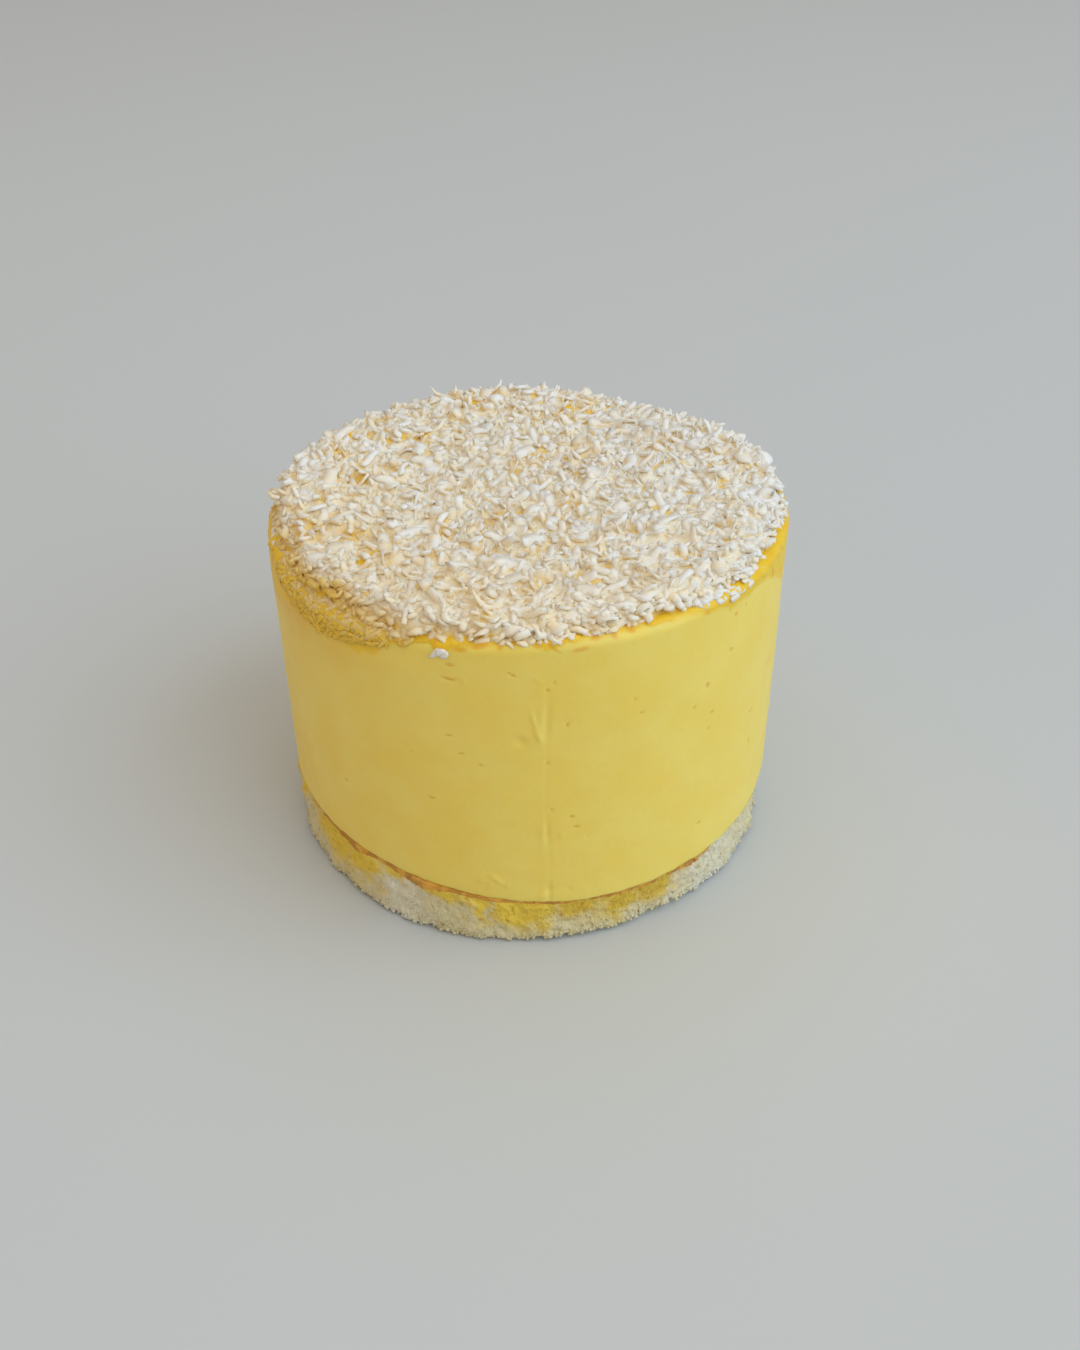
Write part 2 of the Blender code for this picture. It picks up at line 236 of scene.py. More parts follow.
# The kinds of flake, from the finest to the widest. Lengths and widths are in mm, what is bent
# is a share of the length or width, and the lean is in degrees.
FLAKE_FORMS = {
    "bits": {
        "cuts": (1, 1), "length": (0.8, 2.3), "width": (0.5, 1.15), "bow": 0.1,
        "arch": (-0.1, 0.18), "cup": (-0.04, 0.04), "twist": 0.4, "narrow": (0.0, 0.4), "lean": 27,
    },
    "shreds": {
        "cuts": (5, 1), "length": (1.8, 4.6), "width": (0.6, 1.35), "bow": 0.16,
        "arch": (-0.08, 0.34), "cup": (-0.08, 0.05), "twist": 0.8, "narrow": (0.0, 0.4),
        "lean": 27,
    },
    "ribbons": {
        "cuts": (6, 1), "length": (2.6, 5.4), "width": (1.0, 1.9), "bow": 0.2,
        "arch": (0.04, 0.44), "cup": (-0.09, 0.05), "twist": 0.7, "narrow": (0.0, 0.45),
        "lean": 18,
    },
    "chips": {
        "cuts": (4, 1), "length": (2.4, 3.8), "width": (1.5, 2.4), "bow": 0.1,
        "arch": (-0.05, 0.12), "cup": (-0.12, 0.1), "twist": 0.4, "narrow": (0.1, 0.5), "lean": 10,
    },
}
PRESSED_FORM = {
    "cuts": (3, 1), "bow": 0.2, "arch": (-0.03, 0.06), "cup": (-0.05, 0.05), "twist": 0.5,
    "narrow": (0.3, 0.8), "lean": 0,
}
FLAKE_RANKS = {"bits": 0.25, "shreds": 0.5, "ribbons": 0.8, "chips": 0.7}  # order of laying

# Where the coconut is heaped, and where it stops short of the rim or hangs over it: facing,
# spread (degrees), size (mm)
MOUNDS = (
    (-108.0, 26.0, 1.6), (108.0, 16.0, 1.0), (147.0, 20.0, -1.7), (185.0, 50.0, 0.9),
    (0.0, 60.0, -0.2), (-48.0, 24.0, -0.8),
)
RIM_TURNS = (
    (-74.0, 10.0, -0.6), (-104.0, 14.0, 0.4), (-16.0, 6.0, -0.6), (24.0, 16.0, -0.6),
    (46.0, 8.0, 0.9), (-50.0, 22.0, -1.5), (64.0, 10.0, -0.5), (118.0, 26.0, 0.9),
    (165.0, 30.0, 0.5),
)

# Where its rim is yellow with glaze: facing, spread (degrees), share
RIM_YELLOWED = ((-52.0, 26.0, 0.9), (-90.0, 20.0, 0.3))

# Where more glaze shows among the flakes: facing, distance from the axis and reach (mm), share
GOLDEN_PATCHES = (
    (-133.0, 21.0, 2.4, 0.7), (-126.0, 29.5, 4.6, 0.9), (-108.0, 28.0, 2.6, 0.8),
    (107.0, 28.5, 2.6, 1.0), (99.0, 32.0, 3.4, 0.5), (-97.0, 24.0, 3.4, 0.6),
    (-72.0, 29.0, 2.2, 0.7), (-52.0, 26.0, 1.8, 0.6), (-64.0, 25.0, 2.2, 0.7),
    (150.0, 12.0, 3.0, 0.4), (120.0, 22.0, 3.0, 0.5), (-30.0, 17.0, 4.0, 0.35),
    (20.0, 14.0, 4.0, 0.3), (165.0, 27.0, 4.0, 0.6), (-165.0, 30.0, 4.0, 0.6),
)

# White flakes that cling below the edge: facing (degrees), and run down from the top (mm)
STRAYS = (
    (-18.6, 1.9), (-17.4, 1.6), (-16.6, 2.0), (41.5, 0.8), (45.0, 1.3), (47.5, 1.0),
    (37.0, 0.4), (51.0, 1.1), (56.0, 0.6), (-95.0, 0.8), (118.0, 1.2), (150.0, 0.7),
    (-150.0, 1.1), (95.0, 0.6),
)
HIDDEN_STRAYS = 110  # more of them on the side away from the front

# The stage
FLOOR_RADIUS = 2.5
CAMERA_PLACE = (0.0, -0.1614, 0.1348)
CAMERA_PITCH = 35.6  # degrees below the horizon
CAMERA_YAW = 0.51
CAMERA_ROLL = -0.70
SENSOR = 36.0
NEAREST = 0.005
LIGHT_AIM = Vector((0, 0, 0.03))
LIGHTS = (  # name, place, width, tint
    ("key", (1.3, -0.7, 1.0), 2.2, (0.8, 1.0, 1.28)),
    ("overhead", (0.1, 0.1, 1.6), 2.4, (1.0, 1.0, 1.0)),
    ("fill", (-1.1, -0.7, 0.5), 1.0, (1.0, 0.64, 0.34)),
)
SURROUND_TINT = (1.0, 0.92, 0.83, 1.0)

# ---------------------------------------------------------------------------- shape rules


def waves(terms, angle):
    """Sum of cosines round the cake, each with its size, number of waves and crest."""
    return sum(
        size * np.cos(count * (angle - math.radians(crest))) for size, count, crest in terms
    )


def facing(angle, centre, spread):
    """1 at a direction round the cake, fading to 0 away from it; degrees but the angle."""
    away = (np.degrees(angle) - centre + 180) % 360 - 180
    return np.exp(-((away / spread) ** 2))


def swells(angle, spots, unit=1.0):
    """Sum at a direction of what each (facing, spread, size) adds there."""
    return sum(size * unit * facing(angle, at, spread) for at, spread, size in spots)


def ease(share):
    """0 below 0, 1 above 1, and a smooth step between."""
    share = np.clip(share, 0, 1)
    return share * share * (3 - 2 * share)


def polar(points):
    """Direction round the cake and distance from its axis, of each point."""
    return np.arctan2(points[:, 0], -points[:, 1]), np.hypot(points[:, 0], points[:, 1])


def place(angle, radius, height):
    """Points at directions, distances from the axis and heights."""
    across, forward = radius * np.sin(angle), -radius * np.cos(angle)
    return np.stack([across, forward, height + 0 * angle], axis=-1)


def rim_line(angle, radius=RING_RADIUS):
    """Points round the cake at its foot's level, from which what varies round it is read."""
    return place(angle, radius, 0 * angle)


def grain(points, span, layer=0):
    """Smooth noise at each point, about -1 to 1, in lumps about a span across."""
    shift = Vector((7.3, 3.1, 5.7)) * layer
    return np.array([noise.noise(Vector(point) / span + shift) for point in points])


def joint_height(angle, radius):
    """Height of the joint between the layers: wavy and a little ragged at the side, and
    flat at the axis."""
    reach = radius / RING_RADIUS
    rim = rim_line(angle)
    ragged = JOINT_RAGGED * (grain(rim, 2.8 * MM, 28) + 0.5 * grain(rim, 1.1 * MM, 30))
    return SPONGE_HEIGHT + reach**2 * waves(JOINT_WAVES, angle) + reach**8 * ragged


def shoulder_fall(radius):
    """How far the mousse's rounded shoulder lies below its top."""
    over = np.clip(radius - RING_RADIUS + SHOULDER_RADIUS, 0, SHOULDER_RADIUS)
    return SHOULDER_RADIUS - np.sqrt(SHOULDER_RADIUS**2 - over**2)


def top_shift(angle, radius):
    """How far the mousse's top stands from its nominal level: tilted, domed and slumped."""
    reach = np.minimum(radius / RING_RADIUS, 1) ** 2
    slump = SLUMP_DROP * facing(angle, SLUMP_FACING, SLUMP_SPREAD)
    fall = slump * ease(1 - (RING_RADIUS - radius) / SLUMP_REACH)
    return reach * waves(TOP_WAVES, angle) + DOME_RISE * (1 - reach) - fall


def marks(angle, height, spots):
    """How far inside oval marks on the side each point lies, from 0 to 1."""
    inside = np.zeros(len(angle))
    for facing_at, height_at, length, breadth, tilt in spots:
        along = RING_RADIUS * ((angle - math.radians(facing_at) + math.pi) % math.tau - math.pi)
        above = height - height_at * MM
        lean = math.radians(tilt)
        lengthwise = (along * math.cos(lean) + above * math.sin(lean)) / (0.5 * length * MM)
        crosswise = (above * math.cos(lean) - along * math.sin(lean)) / (0.5 * breadth * MM)
        inside = np.maximum(inside, np.exp(-(lengthwise**2) - crosswise**2))
    return inside


def hidden_pits():
    """Pits like the front's, spread over the rest of the side."""
    draw = random.Random(HIDDEN_PITS)
    return tuple(
        (
            draw.uniform(76, 286), draw.uniform(12, 44), draw.uniform(0.9, 1.9),
            draw.uniform(0.6, 0.8), draw.gauss(0, 25),
        )
        for _ in range(HIDDEN_PITS)
    )


def seam_relief(angle, height):
    """Crease down the side, deeper in some stretches, with a low lip on its left."""
    wander = 0.35 * np.sin(height / (5.5 * MM)) + 0.15 * np.sin(height / (2.1 * MM))
    along = RING_RADIUS * (angle - np.radians(SEAM_FACING + wander))
    strength = 0.1 + sum(
        0.9 * np.exp(-(((height / MM - middle) / spread) ** 2)) for middle, spread in SEAM_DEEPEST
    )
    strength = strength * ease((SEAM_TOP - height) / (2 * MM))
    crease = np.exp(-((along / SEAM_BREADTH) ** 2))
    lip = np.exp(-(((along + 2.2 * SEAM_BREADTH) / (1.2 * SEAM_BREADTH)) ** 2))
    return strength * SEAM_DEPTH * (0.45 * lip - crease)


def side_relief(angle, height):
    """How far the mousse's side stands out at each point, and how deep in a pit it lies."""
    spots = place(angle, RING_RADIUS, height)
    pit = marks(angle, height, PITS + hidden_pits())
    smears = grain(spots * (1, 1, 3.2), 3.4 * MM, 4)
    relief = 0.035 * MM * grain(spots, 4.5 * MM, 2) + 0.014 * MM * grain(spots, 1.4 * MM, 3)
    relief = relief + 0.03 * MM * smears
    relief = relief + seam_relief(angle, height) - PIT_DEPTH * pit
    for dent in DENTS:
        relief -= dent[-1] * MM * marks(angle, height, [dent[:-1]])
    for ridge in RIDGES:
        relief += ridge[-1] * MM * marks(angle, height, [ridge[:-1]])
    return relief, pit


def shape_mousse(points):
    """Uneven form of points of the nominal mousse, and how deep in a pit each lies."""
    angle, radius = polar(points)
    height = points[:, 2]
    up = (height - SPONGE_HEIGHT) / (MOUSSE_TOP - SPONGE_HEIGHT)
    from_top = MOUSSE_TOP - height
    joint = (joint_height(angle, radius) - SPONGE_HEIGHT) * np.clip(1 - up, 0, 1)
    lifted = height + joint + top_shift(angle, radius) * ease(1 - from_top / TOP_SETTLE)
    at_side = ease((radius / RING_RADIUS - SIDE_STARTS) / (1 - SIDE_STARTS))
    slump = facing(angle, SLUMP_FACING, SLUMP_SPREAD) * ease(1 - from_top / SLUMP_REACH)
    wobble = SIDE_WOBBLE * grain(points, SIDE_WOBBLE_SPAN)
    relief, pit = side_relief(angle, lifted)
    outwards = at_side * (relief - wobble - 0.6 * SLUMP_PULL * slump)
    return place(angle, radius + outwards, lifted), pit * (at_side > 0.5)


def gather_front(points):
    """Turns the steps of a nominal shape towards the front, where they are then closer."""
    angle, radius = polar(points)
    return place(angle - FRONT_GATHER * np.sin(angle), radius, points[:, 2])


# ---------------------------------------------------------------------------- mesh tools


def deselect_all():
    """Leaves every object unselected."""
    bpy.ops.object.select_all(action="DESELECT")


def points_of(piece):
    """A mesh's points as rows of x, y and z."""
    flat = np.empty(3 * len(piece.data.vertices), np.float32)
    piece.data.vertices.foreach_get("co", flat)
    return flat.reshape(-1, 3).astype(float)


def move_points(piece, points):
    """Puts a mesh's points in new places."""
    piece.data.vertices.foreach_set("co", points.astype(np.float32).ravel())
    piece.data.update()


def paint(piece, name, amounts):
    """Stores an amount for each point of a mesh, which its material reads by name."""
    painted = piece.data.attributes.new(name, "FLOAT", "POINT")
    painted.data.foreach_set("value", np.asarray(amounts, np.float32))


def arc(centre_radius, centre_height, radius, start, end, count):
    """Points of a round on a profile, from one direction to another, in degrees."""
    return [
        (centre_radius + radius * math.cos(turned), centre_height + radius * math.sin(turned))
        for turned in np.radians(np.linspace(start, end, count + 1))
    ]


def line(start, end, spacing):
    """Points of a straight run on a profile, without its end point."""
    count = max(1, round(math.dist(start, end) / spacing))
    return [
        (start[0] + (end[0] - start[0]) * i / count, start[1] + (end[1] - start[1]) * i / count)
        for i in range(count)
    ]


def turn(name, profile, steps):
    """Piece turned on the axis from a profile of (radius, height) points.

    The profile is drawn by extruding one vertex from point to point, and is then spun."""
    deselect_all()
    bpy.ops.mesh.primitive_plane_add(size=MM)
    piece = bpy.context.active_object
    piece.name = piece.data.name = name
    bpy.ops.object.mode_set(mode="EDIT")
    bpy.ops.mesh.select_mode(type="VERT")
    bpy.ops.mesh.select_all(action="SELECT")
    bpy.ops.mesh.merge(type="CENTER")
    corners = [Vector((radius, 0, height)) for radius, height in profile]
    bpy.ops.transform.translate(value=corners[0])
    for before, after in zip(corners, corners[1:]):
        bpy.ops.mesh.extrude_region_move(TRANSFORM_OT_translate={"value": after - before})
    bpy.ops.mesh.select_all(action="SELECT")
    bpy.ops.mesh.spin(steps=steps, angle=math.tau, center=(0, 0, 0), axis=(0, 0, 1))
    bpy.ops.mesh.select_all(action="SELECT")
    bpy.ops.mesh.remove_doubles(threshold=WELD)
    bpy.ops.mesh.normals_make_consistent(inside=False)
    bpy.ops.object.mode_set(mode="OBJECT")
    bpy.ops.object.shade_smooth()
    return piece


def take_blank(blank):
    """Points and faces of a modelled blank, which is then removed."""
    points = points_of(blank)
    faces = np.array([list(face.vertices) for face in blank.data.polygons])
    bpy.data.objects.remove(blank)
    return points, faces


def strip_blank(cuts_along, cuts_across):
    """Unit block, cut across its length and its width, from which flakes are bent."""
    deselect_all()
    bpy.ops.mesh.primitive_cube_add(size=1)
    blank = bpy.context.active_object
    bpy.ops.object.mode_set(mode="EDIT")
    bpy.ops.mesh.select_mode(type="EDGE")
    for axis, cuts in ((0, cuts_along), (1, cuts_across)):
        if cuts:
            bpy.ops.mesh.select_all(action="DESELECT")
            block = bmesh.from_edit_mesh(blank.data)
            for edge in block.edges:
                run = edge.verts[0].co - edge.verts[1].co
                edge.select_set(abs(run[axis]) > 0.9 * run.length)
            bmesh.update_edit_mesh(blank.data)
            bpy.ops.mesh.subdivide(number_cuts=cuts, quadcorner="STRAIGHT_CUT")
    bpy.ops.object.mode_set(mode="OBJECT")
    return take_blank(blank)


def crumb_blank(subdivisions):
    """Small ball, from which crumbs are pressed."""
    deselect_all()
    bpy.ops.mesh.primitive_ico_sphere_add(subdivisions=subdivisions, radius=0.5)
    return take_blank(bpy.context.active_object)


def join_copies(name, copies, faces):
    """One piece of many copies of a blank, each with its own points."""
    count = len(copies[0])
    shifted = np.concatenate([faces + i * count for i in range(len(copies))])
    mesh = bpy.data.meshes.new(name)
    mesh.from_pydata(np.concatenate(copies), [], shifted)
    piece = bpy.data.objects.new(name, mesh)
    bpy.context.scene.collection.objects.link(piece)
    deselect_all()
    piece.select_set(True)
    bpy.context.view_layer.objects.active = piece
    return piece


def finish(piece, material):
    """Gives a piece its material, and lets it ride with the cake."""
    piece.data.materials.append(material)
    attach(piece, "root")


# ---------------------------------------------------------------------------- shader tools


class Value:
    """A socket in a material, on which sums and products add Math nodes."""

    def __init__(self, recipe, socket):
        self.recipe = recipe
        self.socket = socket

    def _math(self, operation, *values):
        sockets = dict(enumerate(values))
        return self.recipe.add("ShaderNodeMath", {"operation": operation}, sockets)

    def __add__(self, other):
        return self._math("ADD", self, other)

    def __sub__(self, other):
        return self._math("SUBTRACT", self, other)

    def __rsub__(self, other):
        return self._math("SUBTRACT", other, self)

    def __mul__(self, other):
        return self._math("MULTIPLY", self, other)

    __radd__ = __add__
    __rmul__ = __mul__

    def clamped(self):
        """The value, held between 0 and 1."""
        return self.recipe.add(
            "ShaderNodeClamp", {}, {"Value": self, "Min": 0.0, "Max": 1.0}
        )

    def above(self, start, width):
        """0 up to a start, then rising smoothly to 1 over a width."""
        return self.recipe.add(
            "ShaderNodeMapRange",
            {"interpolation_type": "SMOOTHSTEP"},
            {"Value": self, "From Min": start, "From Max": start + width},
        )


class Recipe:
    """A material's node tree, built on its Principled shader."""

    def __init__(self, name):
        self.material = bpy.data.materials.new(name)
        self.material.use_nodes = True
        self.tree = self.material.node_tree
        self.shader = self.tree.nodes["Principled BSDF"]

    def add(self, kind, settings, sockets, output=0):
        """Node of a type with its settings, then the values or links of its sockets."""
        node = self.tree.nodes.new(kind)
        for name, setting in settings.items():
            setattr(node, name, setting)
        for key, value in sockets.items():
            self.feed(self.socket(node.inputs, key), value)
        return Value(self, self.socket(node.outputs, output))

    def socket(self, sockets, key):
        """Socket by its number, or by its name among those that are in use."""
        if isinstance(key, int):
            return sockets[key]
        return next(s for s in sockets if s.enabled and key in (s.name, s.identifier))

    def feed(self, socket, value):
        """Links a socket to another, or sets its value."""
        if isinstance(value, Value):
            self.tree.links.new(value.socket, socket)
        else:
            socket.default_value = value

    def surface(self, **values):
        """Sets or links the shader's sockets, named with underscores for spaces."""
        for name, value in values.items():
            self.feed(self.shader.inputs[name.replace("_", " ").title()], value)

    def place(self):
        """The object's own coordinates."""
        return self.add("ShaderNodeTexCoord", {}, {}, "Object")

    def painted(self, name):
        """An amount stored on the mesh."""
        return self.add("ShaderNodeAttribute", {"attribute_name": name}, {}, "Fac")

    def noise(self, span, detail=2.0, roughness=0.5, distortion=0.0):
        """Noise from 0 to 1 in lumps about a span across."""
        sockets = {
            "Vector": self.place(),
            "Scale": 1 / span,
            "Detail": detail,
            "Roughness": roughness,
            "Distortion": distortion,
        }
        return self.add("ShaderNodeTexNoise", {}, sockets, 0)

    def cells(self, span, randomness=1.0):
        """Distance from the middles of scattered cells about a span across."""
        sockets = {"Vector": self.place(), "Scale": 1 / span, "Randomness": randomness}
        return self.add("ShaderNodeTexVoronoi", {}, sockets, "Distance")

    def mix(self, share, first, second):
        """Colour between two, by a share from 0 to 1."""
        sockets = {"Factor_Float": share, "A_Color": colour4(first), "B_Color": colour4(second)}
        return self.add("ShaderNodeMix", {"data_type": "RGBA"}, sockets, "Result_Color")

    def bump(self, height, distance, strength=1.0):
        """Relief from a height of 0 to 1, as deep as a distance."""
        sockets = {"Height": height, "Distance": distance, "Strength": strength}
        return self.add("ShaderNodeBump", {}, sockets, "Normal")


def colour4(shade):
    """A colour with its alpha, or a link as it is."""
    return shade if isinstance(shade, Value) else (*shade, 1.0)


def linear(*shade):
    """Linear colour of a screen shade given from 0 to 255."""
    parts = [part / 255 for part in shade]
    return tuple(p / 12.92 if p <= 0.04045 else ((p + 0.055) / 1.055) ** 2.4 for p in parts)


# ---------------------------------------------------------------------------- finishes


def mousse_finish(colours):
    """Satin mousse: pale and deeper yellows in soft clouds, with painted shade darkening its pits.
    """
    recipe = Recipe("mousse_satin")
    clouds = recipe.noise(7 * MM, 4, 0.55).above(0.3, 0.4)
    shade = recipe.mix(0.6 * clouds, colours.mousse_pale, colours.mousse_deep)
    specks = recipe.noise(0.9 * MM, 2, 0.6).above(0.6, 0.12) * 0.35
    shade = recipe.mix(specks, shade, colours.mousse_deep)
    # Painted shade: a deeper, darker yellow inside the pits, where shade falls in them.
    shade = recipe.mix(recipe.painted("pit").above(0.25, 0.5) * 0.9, shade, colours.mousse_pit_shade)
    ragged = 1.6 * (recipe.noise(1.7 * MM, 4, 0.62) - 0.5)
    soak = recipe.painted("soak") * (0.55 + 0.5 * clouds)
    shade = recipe.mix(soak, shade, colours.mousse_soaked)
    wash = (recipe.painted("wash") + ragged).above(-0.25, 0.8)
    shade = recipe.mix(wash, shade, colours.glaze_light)
    pooled = (recipe.painted("pool") * (1 + 0.8 * ragged)).above(0.1, 0.8)
    shade = recipe.mix(pooled * 0.65, shade, colours.glaze_orange)
    fine = recipe.noise(0.45 * MM, 3, 0.6)
    broad = recipe.noise(2.6 * MM, 2, 0.5)
    recipe.surface(
        base_color=shade,
        roughness=0.4 + 0.16 * recipe.noise(3.5 * MM, 3, 0.6),
        subsurface_weight=0.3,
        subsurface_scale=MM,
        subsurface_radius=(2.2, 1.3, 0.35),
        normal=recipe.bump(fine * 0.35 + broad, 0.07 * MM),
    )
    recipe.shader.inputs["Specular IOR Level"].default_value = 0.45
    return recipe.material


def glaze_finish(colours):
    """Wet golden glaze, orange where it has pooled."""
    recipe = Recipe("golden_glaze")
    thick = recipe.noise(2.4 * MM, 3, 0.55).above(0.38, 0.3)
    shade = recipe.mix(thick, colours.glaze_light, colours.glaze_gold)
    pooled = recipe.painted("pool")
    specks = recipe.noise(1.1 * MM, 2, 0.6).above(0.58, 0.1) * recipe.painted("rim")
    orange = (pooled.above(0.1, 0.7) * 0.8 + 0.6 * specks).clamped()
    shade = recipe.mix(orange, shade, colours.glaze_orange)
    shade = recipe.mix(pooled.above(0.7, 0.3) * 0.5, shade, colours.glaze_dark)
    recipe.surface(
        base_color=shade,
        roughness=0.3 + 0.2 * recipe.noise(1.6 * MM, 2, 0.6),
        subsurface_weight=0.05,
        subsurface_scale=MM,
        subsurface_radius=(1.6, 0.9, 0.2),
        coat_weight=0.08,
        coat_roughness=0.2,
        normal=recipe.bump(recipe.noise(1.3 * MM, 3, 0.6), 0.12 * MM),
    )
    recipe.shader.inputs["Specular IOR Level"].default_value = 0.3
    return recipe.material


def coconut_finish(colours):
    """Moist white coconut flesh: some flakes cooler, some creamier, honeyed by the glaze and by
    painted warm light deep in the gaps.
    """
    recipe = Recipe("coconut_flesh")
    shade = recipe.mix(recipe.painted("tone"), colours.coconut_white, colours.coconut_cream)
    streaks = recipe.noise(0.8 * MM, 2, 0.6).above(0.45, 0.3) * 0.3
    shade = recipe.mix(streaks, shade, colours.coconut_cream)
    # Honeyed where painted deep in the pile: glaze seeping down, and painted warm light standing
    # for the glow in the gaps between flakes.
    shade = recipe.mix(recipe.painted("stain"), shade, colours.coconut_honey_and_gap_glow)
    shade = recipe.mix(recipe.painted("soaked"), shade, colours.coconut_soaked)
    recipe.surface(
        base_color=shade,
        roughness=0.5 + 0.2 * recipe.noise(1.2 * MM, 2, 0.5),
        subsurface_weight=0.08,
        subsurface_scale=MM,
        subsurface_radius=(0.8, 0.74, 0.64),
        normal=recipe.bump(recipe.noise(0.6 * MM, 3, 0.6), 0.07 * MM),
    )
    recipe.shader.inputs["Specular IOR Level"].default_value = 0.35
    return recipe.material


def bed_finish(colours):
    """Fine coconut steeped in glaze: cream, honeyed and golden in patches."""
    recipe = Recipe("steeped_coconut")
    fine = recipe.noise(0.9 * MM, 3, 0.6)
    shade = recipe.mix(0.6 * fine.above(0.35, 0.3), colours.coconut_honey_and_gap_glow, colours.coconut_cream)
    gold = recipe.noise(3.2 * MM, 3, 0.6).above(0.48, 0.2) * 0.75
    shade = recipe.mix((gold + recipe.painted("rim")).clamped(), shade, colours.glaze_gold)
    recipe.surface(
        base_color=shade,
        roughness=0.35 + 0.2 * fine,
        subsurface_weight=0.2,
        subsurface_scale=MM,
        subsurface_radius=(1.6, 1.1, 0.5),
        normal=recipe.bump(recipe.noise(0.5 * MM, 3, 0.6), 0.15 * MM),
    )
    return recipe.material


def sponge_finish(colours):
    """Open crumb: off-white and fuzzy, stained yellow from above, under a browned skin."""
    recipe = Recipe("sponge_crumb")
    fuzz = recipe.noise(0.35 * MM, 4, 0.7)
    crumb = recipe.mix(fuzz.above(0.35, 0.3), colours.sponge_shade, colours.sponge_white)
    clouds = recipe.noise(2.2 * MM, 3, 0.6)
    cream = (1.15 - recipe.painted("bloom") + 1.2 * (clouds - 0.5)).clamped()
    crumb = recipe.mix(cream * 0.8, crumb, colours.sponge_cream)
    stained = (recipe.painted("stain") + 0.7 * (clouds - 0.5)).above(0.1, 0.75)
    crumb = recipe.mix(stained * 0.92, crumb, colours.sponge_stain)
    amber = recipe.painted("amber") * (0.55 + 0.9 * (clouds - 0.4)) * (0.5 + 0.5 * stained)
    crumb = recipe.mix(amber.clamped() * 0.8, crumb, colours.sponge_amber)
    torn = recipe.noise(0.9 * MM, 3, 0.6) - 0.5
    browned = (recipe.painted("skin") + 0.5 * torn).above(0.35, 0.3)
    toasted = recipe.mix(clouds.above(0.42, 0.2), colours.sponge_skin, colours.sponge_toast)
    shade = recipe.mix(browned * 0.95, crumb, toasted)
    pores = 1 - recipe.cells(0.55 * MM).above(0.12, 0.35)
    relief = recipe.noise(0.28 * MM, 4, 0.75) * 0.6 + recipe.noise(0.9 * MM, 3, 0.6) - 0.4 * pores
    recipe.surface(
        base_color=shade,
        roughness=0.85,
        subsurface_weight=0.2,
        subsurface_scale=MM,
        subsurface_radius=(0.9, 0.7, 0.35),
        normal=recipe.bump(relief, 0.2 * MM),
    )
    return recipe.material


def floor_finish(colours):
    """Plain pale surface with a soft gloss."""
    recipe = Recipe("pale_floor")
    mottle = recipe.noise(0.2, 2, 0.5)
    recipe.surface(
        base_color=recipe.mix(mottle, colours.floor, [0.97 * part for part in colours.floor]),
        roughness=0.55,
    )
    return recipe.material


# ---------------------------------------------------------------------------- settings


def shade_setting(name, description, *shade):
    """Colour setting, whose default is given as a screen shade."""
    return FloatVectorProperty(
        name=name,
        description=description,
        subtype="COLOR",
        size=3,
        min=0.0,
        max=1.0,
        default=linear(*shade),
    )


def length_setting(name, description, default):
    """Length setting, in metres."""
    return FloatProperty(
        name=name, description=description, default=default, subtype="DISTANCE", unit="LENGTH"
    )


def count_setting(name, description, default):
    """Number of pieces."""
    return IntProperty(name=name, description=description, default=default, min=0)


def power_setting(name, description, default):
    """Power of a light, in watts."""
    return FloatProperty(name=name, description=description, default=default, unit="POWER")


class CakeColours(bpy.types.PropertyGroup):
    """Colours of the cake and of the floor."""

    mousse_pale: shade_setting("Mousse", "Palest yellow of the mousse", 251, 223, 108)
    mousse_deep: shade_setting("Mousse, deeper", "Deeper yellow of its clouds", 249, 213, 85)
    mousse_soaked: shade_setting("Mousse, soaked", "Side where glaze has soaked in", 240, 196, 74)
    # The pits' deeper yellow is painted shade in those small recesses.
    mousse_pit_shade: shade_setting("Mousse, pits", "Yellow inside its small pits", 232, 186, 64)
    glaze_light: shade_setting("Glaze, thin", "Thin glaze over the mousse", 247, 204, 50)
    glaze_gold: shade_setting("Glaze", "Glaze where it is thicker", 245, 195, 36)
    glaze_orange: shade_setting("Glaze, pooled", "Glaze in small pools", 236, 162, 34)
    glaze_dark: shade_setting("Glaze, deepest", "Glaze at the bottom of a pool", 198, 108, 20)
    coconut_white: shade_setting("Coconut", "White of a fresh flake", 247, 246, 240)
    coconut_cream: shade_setting("Coconut, creamy", "Cream of the other flakes", 246, 238, 218)
    # Also painted warm light: the glow deep in the gaps between flakes.
    coconut_honey_and_gap_glow: shade_setting("Coconut, honeyed", "Flakes touched by the glaze", 254, 237, 201)
    coconut_soaked: shade_setting("Coconut, soaked", "Flakes steeped in the glaze", 238, 196, 66)
    sponge_white: shade_setting("Crumb", "White of the crumb", 244, 240, 218)
    sponge_shade: shade_setting("Crumb, shaded", "Crumb between its grains", 222, 216, 192)
    sponge_cream: shade_setting("Crumb, creamy", "Cream clouds in the crumb", 222, 206, 148)
    sponge_stain: shade_setting("Crumb, stained", "Crumb stained by syrup", 242, 206, 56)
    sponge_amber: shade_setting("Crumb, soaked", "Crumb soaked through with syrup", 206, 166, 56)
    sponge_skin: shade_setting("Skin", "Browned skin on the sponge", 196, 136, 50)
    sponge_toast: shade_setting("Skin, lighter", "Paler patches of the skin", 230, 172, 68)
    floor: shade_setting("Floor", "Plain pale floor", 206, 209, 206)


